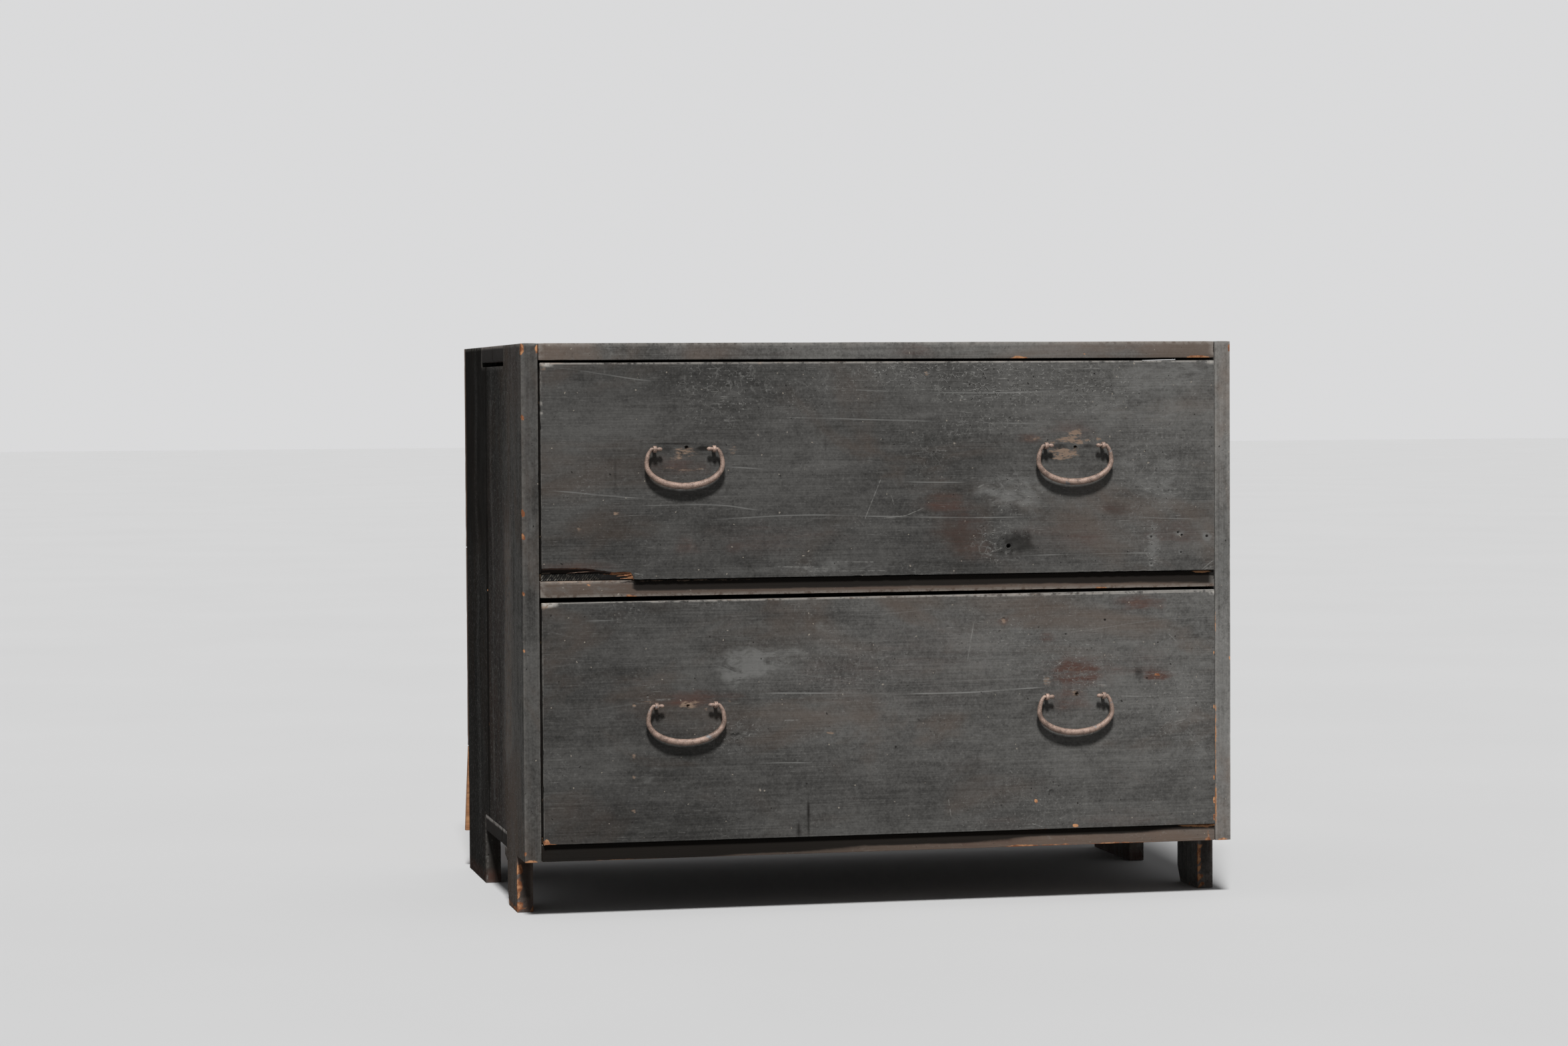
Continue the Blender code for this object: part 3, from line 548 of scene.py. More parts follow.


# Lower edge (x, z) of the painted shadow that the lower drawer, standing proud, casts on the bottom rail.
BOTTOM_SHADOW_EDGE = (
    (-0.43, 0.0700), (-0.25, 0.0715), (-0.1, 0.0762), (0.05, 0.0790), (0.2, 0.0835), (0.33, 0.0862),
    (0.41, 0.090),
)
# The bottom rail is lighter towards the right, partly its own tone and partly painted light.
bottom_lacquer = blackened_wood(
    "bottom_lacquer", 0, (3.1, 0.4, 1.7), brown=1.3, tone_and_light_gradients=((0, -0.2, 0.25, 0.9),), shine=0.05,
)
for half, seed in (("front", 1), ("rear", 2)):
    node = f"bottom_{half}_board"
    board = cross_board(f"bottom_{half}_plank", node, TENON, seed)
    if half == "front":
        plain_arris(board, lambda point: point.y < FACE_Y + 0.004)
        paint(
            board,
            raw=(
                (190, 69, 60, 3.5, 1), (300, 69, 90, 2.5, 0.8), (408, 90, 26, 2.2, 1.3), (422, 83, 4, 4, 1),
                (-330, 69, 90, 1.8, 0.9), (-20, 69, 120, 1.5, 0.9), (418, 72, 6, 6, 0.9),
                (0, 69, 420, 1.1, 0.7),
            ),
            rubbed=((200, 78, 220, 8, 0.5), (-250, 80, 120, 6, 0.3)),
        )
        # Painted shadow: the rail is darkened under the lower drawer down to that edge.
        paint_where(board, "soot", lambda point: 1.7 * painted_drawer_shadow(point, BOTTOM_SHADOW_EDGE))
    dull_ends(board, 1.0, 0.0895)
    # Painted highlight: a bright line along the top arris of each tenon end, where light from above catches
    # it.
    top_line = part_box(node)[1].z - 0.0015
    paint_where(board, "arris", lambda point: 4.5 * (abs(point.x) > END_X + 0.001 and point.z > top_line))
    finish_piece(board, bottom_lacquer, "case", "lacquered_case", node)


# Sides: two upright softwood boards each, glued edge to edge. The front foot is sawn out of the
# front board with a small bracket behind it, and the rear foot is the rear board's own end.
SIDE_JOINT_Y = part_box("left_side_rear_board")[0].y
FOOT_Y, HEEL_Y = FACE_Y + 0.070, FACE_Y + 0.153
FRONT_TENON_Y, REAR_TENON_Y = FACE_Y + 0.157, FACE_Y + 0.357
FOOT_TOP_Z, MORTISE_TOP_Z = 0.0697, 0.0913
BRACKET_DROP, BRACKET_REACH, BRACKET_SAG = 0.0097, 0.018, 0.007
BRACKET_TIP_Y, BRACKET_LENGTH = FACE_Y + 0.175, 0.022
HEEL_HEIGHT, HEEL_SLOPE, HEEL_START_Y = 0.020, 0.013, FACE_Y + 0.140
FOOT_DROP = 0.040
CRACK_WIDTH, CRACK = 0.0024, (0.191, 0.421, 0.060)
SLOT_HEIGHTS = {"left": 0.674, "right": 0.6785}
OUTER_X, TOP_EDGE_Z = 0.4488, 0.6985


def crack_width(z):
    """Width of the open joint at a height: it fades out at both ends."""
    return CRACK_WIDTH * band(z, *CRACK)


def front_side_board(name, node, slot_z, seed):
    """Adds the front half of a side, with its foot, the bracket behind it and the mortises."""
    low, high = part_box(node)
    board = saw_board(name, (low.x, low.y, MORTISE_TOP_Z), (high.x, high.y, slot_z))
    scribe(Y, FOOT_Y, HEEL_Y, FRONT_TENON_Y)
    pull(Z, high.z - slot_z, lambda middle: middle.z > 0.6 and middle.y < FRONT_TENON_Y)
    pull(-Z, MORTISE_TOP_Z - FOOT_TOP_Z, lambda middle: middle.y < FRONT_TENON_Y)
    pull(-Z, BRACKET_DROP, lambda middle: FOOT_Y < middle.y < FRONT_TENON_Y)
    pull(Y, BRACKET_REACH, lambda middle: middle.z < FOOT_TOP_Z and middle.y < FRONT_TENON_Y + 0.003)
    pull(-Z, FOOT_DROP, lambda middle: FOOT_Y < middle.y < HEEL_Y)
    pull(-Z, HEEL_HEIGHT, lambda middle: middle.z < HEEL_HEIGHT + 0.001)
    scribe(Y, *(low.y + row for row in ARRIS_ROWS))
    divide(GRID)
    round_arrises(ARRIS_ROUND)
    points = places_of(board)
    heel = (points[:, 2] < HEEL_HEIGHT) & (points[:, 1] > HEEL_START_Y)
    reach = (points[:, 1] - HEEL_START_Y) / HEEL_SLOPE
    points[:, 1] -= np.where(heel, HEEL_SLOPE * reach * (1 - points[:, 2] / HEEL_HEIGHT), 0)
    behind, height = points[:, 1], points[:, 2]
    bracket = (behind > HEEL_Y + 0.0005) & (height > 0.052) & (height < FOOT_TOP_Z - 0.001)
    share = np.clip((BRACKET_TIP_Y - behind) / BRACKET_LENGTH, 0, 1)
    points[:, 2] -= np.where(bracket, BRACKET_SAG * share * ((FOOT_TOP_Z - height) / BRACKET_DROP), 0)
    move_to(board, points)
    wear(board, seed)
    return board


def rear_side_board(name, node, slot_z, seed):
    """Adds the rear half of a side, hollowed along the open joint."""
    low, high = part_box(node)
    board = saw_board(name, (low.x, low.y, MORTISE_TOP_Z), (high.x, high.y, slot_z))
    scribe(Y, REAR_TENON_Y)
    pull(Z, high.z - slot_z, lambda middle: middle.z > 0.6 and middle.y > REAR_TENON_Y)
    pull(-Z, MORTISE_TOP_Z, lambda middle: middle.y > REAR_TENON_Y)
    divide(GRID)
    round_arrises(ARRIS_ROUND)
    points = places_of(board)
    for point in points:
        if point[1] < low.y + 0.002:
            ragged = 1 + 0.35 * noise.noise(Vector(point) * 40)
            point[1] += crack_width(point[2]) * ragged
    move_to(board, points)
    wear(board, seed)
    return board


def side_bands(point):
    """The painted shade, pale and rubbed parts of the outer face of a side; the painted shade darkens it
    towards the rear and in its upper part.
    """
    back = point.y - FACE_Y
    back += 0.02 * noise.noise(point * 6) + 0.006 * noise.noise(point * 30)
    soot = 0.05 + 0.20 * band(back, 0.20, 0.60, 0.08) + 0.35 * band(back, 0.34, 0.60, 0.08)
    soot += 0.25 * band(point.z, 0.48, 0.72, 0.08)
    pale = 1.0 * band(back, 0.11, 0.15, 0.025) * band(point.z, 0.20, 0.44, 0.08)
    pale += 0.35 * band(back, 0.16, 0.34, 0.02) * band(point.z, 0.682, 0.71, 0.008)
    pale += 0.55 * band(back, 0.262, 0.272, 0.012) * band(point.z, 0.14, 0.62, 0.08)
    pale += 0.40 * band(back, 0.405, 0.420, 0.014) * band(point.z, 0.10, 0.66, 0.08)
    rubbed = 0.40 * band(back, 0.10, 0.30, 0.04) * band(point.z, 0.10, 0.50, 0.08)
    rubbed += 0.5 * band(back, 0.0, 0.10, 0.05) * band(point.z, 0.63, 0.71, 0.03)
    return soot * (1 - 0.6 * pale), pale, rubbed


def beside_joint(point):
    """Is 1 on the two arrises that meet at the joint."""
    return band(point.y, SIDE_JOINT_Y - 0.0012, SIDE_JOINT_Y + 0.0012, 0.002)


def along_crack(point):
    """Is 1 beside the open joint between the two boards of a side."""
    beside = band(point.y, SIDE_JOINT_Y - 0.004, SIDE_JOINT_Y + 0.004, 0.005)
    return beside * band(point.z, 0.145, 0.470, 0.02)


def outside(point):
    """Is true on the outer face of a side."""
    return abs(point.x) > OUTER_X and point.y > FACE_Y + 0.0012


def age_side(board):
    """Paints the outer face of a side board in upright bands with painted shade, darkens its joint and
    lightens its top arris with wear and a painted highlight.
    """
    # The first dark layer here is painted shade, darker towards the rear; the second darkens the joint.
    for layer, strength in (
        ("soot", lambda point: side_bands(point)[0]),
        ("pale", lambda point: side_bands(point)[1]),
        ("rubbed", lambda point: side_bands(point)[2]),
        ("beige", lambda point: 0.7 * side_bands(point)[1]),
        ("dented", lambda point: 0.9),
        ("soot", lambda point: max(1.2 * beside_joint(point), 3.0 * along_crack(point))),
        ("raw", lambda point: along_crack(point) * (3.5 * noise.noise(point * 110) - 1.6)),
    ):
        paint_where(board, layer, lambda point: strength(point) if outside(point) else 0)
    paint_where(board, "pale", lambda point: 1.1 * (point.z > 0.6988 and abs(point.x) < 0.4485))
    plain_arris(board, lambda point: abs(point.y - SIDE_JOINT_Y) < 0.006)
    # Painted highlight along the top arris of the side, over its wear, where light from above catches it.
    paint_where(board, "arris", lambda point: 3.5 * (point.z > TOP_EDGE_Z and outside(point)))


def foot_front(point):
    """Is 1 on the front of a front foot and 0 elsewhere."""
    return band(point.y, FACE_Y + 0.066, FACE_Y + 0.0715, 0.0015) * band(point.z, -0.01, 0.0672, 0.002)


def bare_foot(point, arris_x):
    """Raw chips along one upright arris of a front foot, and its worn sole."""
    ragged = noise.noise(point * 170) + 0.7 * noise.noise(point * 420)
    chips = band(point.x, arris_x - 0.0032, arris_x + 0.0032, 0.0025) * band(point.z, 0.003, 0.062, 0.004)
    chips *= foot_front(point) * (0.9 + 1.3 * ragged)
    sole = band(point.z, -0.01, 0.006, 0.007) * ((0.75 if arris_x < 0 else 0.30) + 0.8 * ragged)
    return max(chips, sole)


def foot_patch(point):
    """The dark patch that is left on the front of a front foot."""
    ragged = 0.0012 * noise.noise(point * 200)
    patch = band(abs(point.x), 0.4325 + ragged, 0.4445 + ragged, 0.0015)
    patch *= band(point.z, 0.018 + ragged, 0.062 + ragged, 0.003)
    return foot_front(point) * (0.12 + 0.60 * patch)


ARRIS_SPOTS = {
    "left": (
        (-449, 692, 3.2, 6, 1.7), (-449, 612, 1.3, 2.6, 1.7), (-449, 495, 1.3, 4, 1.8),
        (-449, 466, 1.3, 2.8, 1.7), (-430, 693, 2, 6, 1.3), (-442, 72, 8, 1.8, 1.3), (-449, 81, 1.5, 4, 1),
        (-449, 560, 1, 1.6, 1.4), (-449, 395, 1.2, 2.6, 1.3), (-449, 330, 1.2, 2.2, 1.3),
        (-449, 250, 1, 2.2, 1.2),
    ),
    "right": (
        (449, 692, 2.5, 4, 1.2), (430, 340, 0.9, 30, 0.65), (430, 200, 0.9, 60, 0.70),
        (430, 120, 1.2, 30, 0.85), (440, 72, 8, 2, 1.2), (449, 300, 1.2, 4, 0.9),
    ),
}
STILE_STAINS = (
    (-440, 540, 9, 60, 0.25), (-440, 440, 9, 30, 0.2), (440, 520, 9, 90, 0.2), (440, 150, 9, 60, 0.3),
    (-440, 640, 9, 30, 0.3),
)
# The long pale patches on the right stile are partly paler lacquer and partly painted light.
STILE_PALE = (
    (440, 430, 16, 160, 0.7), (440, 240, 16, 120, 0.6), (-440, 560, 9, 130, 0.3), (-440, 460, 9, 60, 0.5),
)
# Painted light on the left side: its outer face is lighter near the front and darkened with painted shade
# towards the rear.
SIDE_LIGHT_FALLOFF = (
    (1, FACE_Y + 0.0030, FACE_Y + 0.0005, 0.17), (1, FACE_Y + 0.0005, FACE_Y + 0.0030, 0.50),
    (1, FACE_Y + 0.09, FACE_Y + 0.25, -0.58), (1, FACE_Y + 0.34, FACE_Y + 0.42, -0.15),
)
SIDE_LACQUERS = {
    "left": blackened_wood(
        "side_lacquer", 2, (1.3, 2.2, 0.6), brown=0.6, weathered=0.6, tone_and_light_gradients=SIDE_LIGHT_FALLOFF, shine=0.01,
    ),
    # Everything right of x 0.41, the right stile and its outer face, is lightened: partly paler lacquer and
    # partly painted light.
    "right": blackened_wood(
        "right_side_lacquer", 2, (7.3, 5.2, 3.6), brown=0.5, weathered=0.45, tone_and_light_gradients=((0, 0.40, 0.41, 1.55),),
        shine=0.06,
    ),
}
for side, foot_arris, seed in (("left", -0.4485, 11), ("right", 0.4305, 21)):
    node = f"{side}_side_front_board"
    board = front_side_board(f"{side}_side_front_plank", node, SLOT_HEIGHTS[side], seed)
    age_side(board)
    paint(board, raw=ARRIS_SPOTS[side], rubbed=STILE_STAINS, pale=STILE_PALE)
    paint_where(board, "raw", lambda point: bare_foot(point, foot_arris))
    paint_where(board, "rubbed", lambda point: 0.8 * foot_front(point))
    paint_where(board, "soot", foot_patch)
    finish_piece(board, SIDE_LACQUERS[side], "case", "lacquered_case", node)
    node = f"{side}_side_rear_board"
    board = rear_side_board(f"{side}_side_rear_plank", node, SLOT_HEIGHTS[side], seed + 1)
    age_side(board)
    paint_where(board, "rubbed", lambda point: 1.4 * band(point.z, -0.01, 0.010, 0.012))
    paint_where(board, "raw", lambda point: 0.45 * band(point.z, -0.01, 0.003, 0.004))
    finish_piece(board, SIDE_LACQUERS[side], "case", "lacquered_case", node)


# Rail between the drawers, stub-tenoned into the sides. Behind it the upper drawer runs on bare
# runners and a thin bare dust board, which are left as they were sawn.
AGED_LIGHT, AGED_DARK = (0.36, 0.225, 0.125), (0.20, 0.115, 0.060)
HAND_GRIME, SPLIT_PALE = (0.10, 0.065, 0.040), (0.42, 0.40, 0.35)


def bare_wood(name, along, shift, light=AGED_LIGHT, dark=AGED_DARK, dirty_and_shaded_to=None):
    """Planed softwood without a finish, browned by age, dirty from hands, and darkened at the front with
    sooty dirt and painted shade.
    """
    wood = Finish(name)
    place = wood.place(shift)
    clouds = wood.cloud(place, 5.0)
    streaks = wood.grained(place, along, 2.0, 60.0, 5.0, 0.6, 0.3)
    fibres = wood.grained(place, along, 8.0, 420.0)
    colour = wood.over(light, dark, wood.fade(wood.sum(streaks, wood.times(clouds, 0.5)), 0.55, 1.0))
    grime = wood.fade(wood.cloud(place, 9.0, 5.0, 0.7), 0.52, 0.72)
    colour = wood.over(colour, HAND_GRIME, grime, 0.45)
    colour = wood.darken(colour, wood.fade(fibres, 0.0, 0.6))
    colour = wood.over(colour, SOOT_AND_SHADE, wood.layer("soot"), 0.85)
    colour = wood.over(colour, SPLIT_PALE, wood.layer("pale"))
    # The front end, which lies in the dark gap beside the stile, gets sooty dirt and painted shade.
    if dirty_and_shaded_to is not None:
        front = wood.fade(wood.axis(wood.place(), 1), dirty_and_shaded_to, dirty_and_shaded_to - 0.012)
        colour = wood.over(colour, SOOT_AND_SHADE, front, 0.9)
    normal = wood.relief(wood.sum(streaks, wood.times(fibres, 0.6)), 0.0006, 0.6)
    return wood.done(colour, wood.sum(0.62, wood.times(streaks, 0.2)), normal)


def refinish(material, *nodes):
    """Gives CAD pieces that keep their shape their finish."""
    for name in nodes:
        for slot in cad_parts[name].material_slots:
            slot.material = material


# Lower edge (x, z) of the painted shadow that the upper drawer, standing proud, casts on the middle rail; it
# stops where the corner is broken off.
MIDDLE_RAIL_SHADOW_EDGE = ((-0.313, 0.430), (-0.310, 0.4015), (0.0, 0.4005), (0.3, 0.3985), (0.43, 0.3975))
rail_lacquer = blackened_wood(
    "rail_lacquer", 0, (5.1, 1.4, 2.9), brown=1.6, tone_and_light_gradients=((0, -0.5, -0.4, 0.35), (0, -0.1, 0.4, 0.35)),
)
rail_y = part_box("middle_rail")[0].y
board = cross_board("middle_rail_board", "middle_rail", (rail_y + 0.012, rail_y + 0.048), 31)
paint(
    board,
    rubbed=(
        (0, 401, 430, 9, 0.45), (200, 401, 60, 8, 0.6), (-316, 392, 10, 2.5, 1.2), (300, 402, 120, 8, 0.5),
    ),
    raw=(
        (-316, 391.5, 8, 1.4, 1.3), (-95, 393, 2.5, 2, 1.3), (188, 393, 30, 1.2, 1),
        (280, 391.5, 6, 2, 1.2), (410, 411, 14, 1.8, 1.2), (-371, 407, 2, 1.5, 1.4),
    ),
    beige=((-380, 410.5, 46, 1.5, 1.4), (-250, 410.5, 80, 1, 0.9)),
    pale=((-380, 402, 60, 10, 0.5),),
)
# Painted shadow: the rail is darkened under the upper drawer down to that edge.
paint_where(board, "soot", lambda point: 1.6 * painted_drawer_shadow(point, MIDDLE_RAIL_SHADOW_EDGE))
plain_arris(board, lambda point: point.z > 0.4095 and point.x > -0.31)
finish_piece(board, rail_lacquer, "case", "lacquered_case", "middle_rail")
refinish(bare_wood("cross_softwood", 0, (0.2, 0.9, 0.4)), "middle_rear_rail", "dust_board")
refinish(bare_wood("runner_softwood", 1, (4.2, 1.9, 0.1)), "left_runner", "right_runner")


# Top of the case: two boards like the bottom ones. Their ends pass through the sides above a dark
# slot, and everything that ever stood on them has dulled the lacquer.
top_lacquer = blackened_wood(
    "top_lacquer", 0, (8.1, 3.4, 0.7), brown=0.8, tone_and_light_gradients=((0, -0.5, -0.4, 0.95), (0, -0.2, 0.2, -0.05)),
    shine=0.08,
)
for half, seed in (("front", 41), ("rear", 42)):
    node = f"top_{half}_board"
    board = cross_board(f"top_{half}_plank", node, TENON, seed)
    if half == "front":
        plain_arris(board, lambda point: point.z < 0.6805 and point.y < FACE_Y + 0.004)
        paint(
            board,
            raw=(
                (176, 679.5, 11, 1.6, 1.3), (410, 679.5, 17, 1.6, 1.3), (18, 680, 3, 1.6, 1.4),
                (262, 684, 4, 1.5, 0.9),
            ),
            rubbed=((40, 688, 26, 10, 0.7), (-180, 690, 120, 8, 0.3), (300, 688, 120, 8, 0.25)),
        )
    dull_ends(board, TOP_EDGE_Z, TOP_EDGE_Z)
    finish_piece(board, top_lacquer, "case", "lacquered_case", node)


# Back: three raw softwood boards laid across the rear edges of the sides and nailed there. The
# lowest is a little too long and shows its orange end beside the left side.
BACK_GRID = GRID * 1.4
NAIL_FIELD, NAIL_REACH, NAIL_SINK = 0.008, 0.0052, 0.0008


def refine(within, cuts=1, facing=-Y):
    """Divides the faces on one side of the edited board that pass a test more finely."""
    pick_faces(facing, within)
    bpy.ops.mesh.subdivide(number_cuts=cuts)


def back_board(name, node, nails, seed):
    """Adds a back board, a little narrower towards its top and sunk around its nails."""
    low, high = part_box(node)
    board = saw_board(name, low, high)
    divide(BACK_GRID)
    places = [sum(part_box(nail), Vector()) / 2 for nail in nails]
    for place in places:
        refine(lambda middle: math.hypot(middle.x - place.x, middle.z - place.z) < NAIL_FIELD, 8, Y)
    round_arrises(ARRIS_ROUND)
    points = places_of(board)
    overhang = high.x - CASE_HALF
    rise = (points[:, 2] - low.z) / (high.z - low.z)
    points[:, 0] *= 1 - overhang * rise / high.x
    move_to(board, points)
    wear(board, seed, nick=0.0012)
    points = places_of(board)
    for place in places:
        reach = np.hypot(points[:, 0] - place.x, points[:, 2] - place.z)
        sunk = NAIL_SINK * np.clip((NAIL_REACH - reach) / 0.0018, 0, 1)
        points[:, 1] -= np.where(points[:, 1] > high.y - 0.003, sunk, 0)
    move_to(board, points)
    return board


raw_back = bare_wood("raw_back", 0, (2.2, 6.1, 0.3), (0.46, 0.235, 0.105), (0.26, 0.105, 0.040))
for part, first, seed in (("lower", 1, 51), ("middle", 3, 52), ("upper", 5, 53)):
    node = f"{part}_back_board"
    nails = [f"{side}_back_nail_{number}" for side in ("left", "right") for number in (first, first + 1)]
    board = back_board(f"{part}_back_plank", node, nails, seed)
    # Painted shade: the ends of the middle and upper boards beside the sides are darkened.
    if part != "lower":
        paint_where(board, "soot", lambda point: 0.95 * (abs(point.x) > 0.4465))
    paint_where(board, "soot", lambda point: 0.6 * (point.z > 0.697))
    finish_piece(board, raw_back, "case", "bare_back", node)


RUST_DARK, RUST_LIGHT, IRON_GREY = (0.130, 0.084, 0.064), (0.335, 0.230, 0.182), (0.13, 0.15, 0.165)
PIT_BROWN, RUST_DUST = (0.060, 0.036, 0.028), (0.56, 0.45, 0.37)


def rusted_iron(name, shift, tone=1.0):
    """Hand-forged iron, dark where it was handled, rusty brown and pitted elsewhere."""
    iron = Finish(name)
    place = iron.place(shift)
    blotches = iron.cloud(place, 120.0, 5.0, 0.7)
    grit = iron.cloud(place, 1300.0, 3.0, 0.7)
    grey = iron.fade(iron.cloud(place, 70.0, 3.0, 0.6), 0.62, 0.68)
    colour = iron.over(RUST_DARK, RUST_LIGHT, iron.fade(blotches, 0.34, 0.60))
    colour = iron.over(colour, IRON_GREY, grey, 0.8)
    colour = iron.over(colour, PIT_BROWN, iron.fade(grit, 0.46, 0.34), 0.7)
    colour = iron.over(colour, RUST_DUST, iron.fade(grit, 0.56, 0.68), 0.6)
    colour = iron.times(colour, tone)
    normal = iron.relief(iron.blend((blotches, 0.6), (grit, 0.7)), 0.0007, 0.8)
    roughness = iron.sum(0.36, iron.times(blotches, 0.3))
    return iron.done(colour, roughness, normal, Metallic=0.15, Specular_IOR_Level=0.6)


nail_iron = rusted_iron("nail_iron", (0.3, 0.1, 0.6))
for side in ("left", "right"):
    for number in range(1, 7):
        refinish(nail_iron, f"{side}_back_nail_{number}")


# Drawer fronts: one wide softwood board each, lapped over the drawer's sides, with a rebate for
# its bottom. The upper one has lost its lower left corner.
LAP_Y, SHOULDER_X, REBATE_HEIGHT = 0.010, 0.4142, 0.0083
FRONT_GRID = 0.0042
BREAK_FRONT_Y = FACE_Y - 0.0044


def gouge(board, dents):
    """Pushes dents (x, z, radius, depth) in millimetres into a board's front."""
    points = places_of(board)
    front = points[:, 1] < points[:, 1].min() + 0.003
    for x, z, radius, depth in dents:
        reach = np.hypot(points[:, 0] * 1000 - x, points[:, 2] * 1000 - z) / radius
        sink = np.clip(1 - reach ** 2, 0, 1) ** 0.7 - 0.10 * np.clip(1 - np.abs(reach - 1.3) * 4, 0, 1)
        points[:, 1] += np.where(front, depth / 1000 * sink, 0)
    move_to(board, points)


def drawer_front(name, node, right_drop, left_drop, holes, seed):
    """Adds a front whose top edge drops by its ends, with holes and dents in its face."""
    low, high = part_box(node)
    board = saw_board(name, low, (high.x, low.y + LAP_Y, high.z))
    rebate_z = low.z + REBATE_HEIGHT
    scribe(X, -SHOULDER_X, SHOULDER_X)
    scribe(Z, rebate_z)
    pull(Y, high.y - low.y - LAP_Y, lambda middle: abs(middle.x) < SHOULDER_X and middle.z > rebate_z)
    for direction, start, end in ((X, low.x, high.x), (Z, low.z, high.z)):
        scribe(direction, *(start + row for row in ARRIS_ROWS), *(end - row for row in ARRIS_ROWS))
    divide(FRONT_GRID)
    refine(lambda middle: True)
    for x, z, radius, _ in holes:
        reach = max(0.0035, radius * 0.0024)
        refine(lambda middle: math.hypot(middle.x - x / 1000, middle.z - z / 1000) < reach, 3)
    round_arrises(ARRIS_ROUND)
    points = places_of(board)
    share = (points[:, 0] - low.x) / (high.x - low.x)
    drop = left_drop * (1 - share) + right_drop * share
    points[:, 2] -= drop * (points[:, 2] - low.z) / (high.z - low.z)
    move_to(board, points)
    wear(board, seed)
    gouge(board, holes)
    return board


UPPER_LINES = (
    ((-408, 670), (-350, 662), (-293, 654)),
    ((-412, 521), (-350, 515), (-302, 511)),
    ((-420, 501), (-300, 502), (-202, 501), (-158, 495)),
    ((-226, 484), (-102, 488), (0, 485), (140, 482), (250, 483), (400, 477)),
    ((-196, 548), (-99, 539), (0, 529), (100, 526)),
    ((-149, 648), (-52, 642), (88, 637), (176, 637), (250, 640), (423, 642)),
    ((-131, 608), (0, 604), (200, 598)),
    ((170, 434), (260, 435), (345, 435)),
)
LOWER_LINES = (
    ((-425, 352), (-400, 346), (-380, 342)),
    ((-376, 363), (-355, 363), (-335, 363)),
    ((-150, 270), (-60, 268), (100, 265), (200, 269)),
    ((300, 256), (350, 254), (400, 252)),
    ((-165, 184), (-130, 184), (-95, 183)),
)
UPPER_SCRATCHES = (
    ((-5, 530), (-25, 482), 0.8), ((8, 513), (12, 500), 0.7), ((0, 483), (28, 486), 0.8),
    ((28, 486), (50, 495), 0.8), ((130, 437), (150, 444), 1), ((134, 452), (142, 449), 1),
    ((410, 413), (425, 424), 1), ((414, 413), (427, 418), 0.9), ((-135, 425), (-90, 424), 0.9),
    ((-95, 419), (0, 418), 0.7), ((-60, 430), (-15, 429), 0.8), ((395, 628), (402, 634), 1),
    ((120, 520), (127, 523), 1), ((-313, 420), (-303, 417.5), 0.9), ((-312, 416.8), (-303.5, 415), 0.8),
)
LOWER_SCRATCHES = (
    ((113, 350), (105, 305), 0.8), ((80, 132), (83, 112), 0.9), ((-130, 236), (-110, 236), 0.8),
    ((375, 222), (388, 225), 0.9), ((376, 219), (388, 222), 0.8), ((367, 332), (376, 324), 1),
    ((203, 283), (212, 282), 1), ((203, 279), (212, 279), 1), ((204, 275), (211, 275), 1),
    ((274, 271), (284, 270), 1), ((-298, 265), (-270, 265), 1), ((188, 99), (200, 95), 0.9),
    ((168, 97), (172, 88), 0.9),
)
# Each front is lighter to the right and darker towards its bottom, partly its own tone and partly painted
# light.
UPPER_TONE_AND_LIGHT = ((0, -0.36, 0.0, 0.15), (0, 0.05, 0.42, 0.35), (2, 0.56, 0.43, -0.10))
LOWER_TONE_AND_LIGHT = ((0, -0.36, 0.0, 0.45), (0, 0.1, 0.42, 0.15), (2, 0.24, 0.09, -0.20))
upper_lacquer = blackened_wood(
    "upper_front_lacquer", 0, (1.1, 4.4, 5.7), lines=UPPER_LINES, scratches=UPPER_SCRATCHES,
    tone_and_light_gradients=UPPER_TONE_AND_LIGHT,
)
lower_lacquer = blackened_wood(
    "lower_front_lacquer", 0, (3.6, 7.4, 9.2), brown=0.45, lines=LOWER_LINES, scratches=LOWER_SCRATCHES,
    tone_and_light_gradients=LOWER_TONE_AND_LIGHT,
)

# Holes and dents (x, z, radius, depth) in millimetres, first the nail holes between the pins.
UPPER_HOLES = (
    (-248, 572.5, 1.7, 5), (245, 568.5, 1.7, 5), (158.5, 446, 2.8, 5), (161, 445, 5, 0.7),
    (344, 455, 2, 0.8), (344, 421, 2, 0.8), (380, 460, 2.2, 1), (384, 456, 1.8, 0.8), (417, 455, 2, 0.8),
    (383, 435, 1.6, 0.7), (-228, 572, 3.5, 0.5), (-196, 646, 2.5, 0.6), (60, 656, 2.2, 0.6),
    (47, 488, 2.4, 0.5), (-88, 616, 1.6, 0.6), (122, 628, 2.4, 0.6),
)
LOWER_HOLES = (
    (-248, 257, 1.6, 4.5), (246, 260, 1.6, 4.5), (-315, 259, 2.6, 0.8), (197, 344, 1.2, 0.8),
    (232, 335, 1.2, 0.8), (283, 352, 1.3, 0.9), (152, 354, 3.5, 0.7), (-186, 220, 2.2, 0.9),
    (-192, 220, 1.8, 0.8), (-47, 258, 1.6, 0.6), (213, 138, 3, 0.6), (326, 283, 4, 0.6),
)
upper_front = drawer_front("upper_drawer_face", "upper_drawer_front", 0.0009, 0.0007, UPPER_HOLES, 61)
lower_front = drawer_front("lower_drawer_face", "lower_drawer_front", 0.0, 0.0025, LOWER_HOLES, 62)

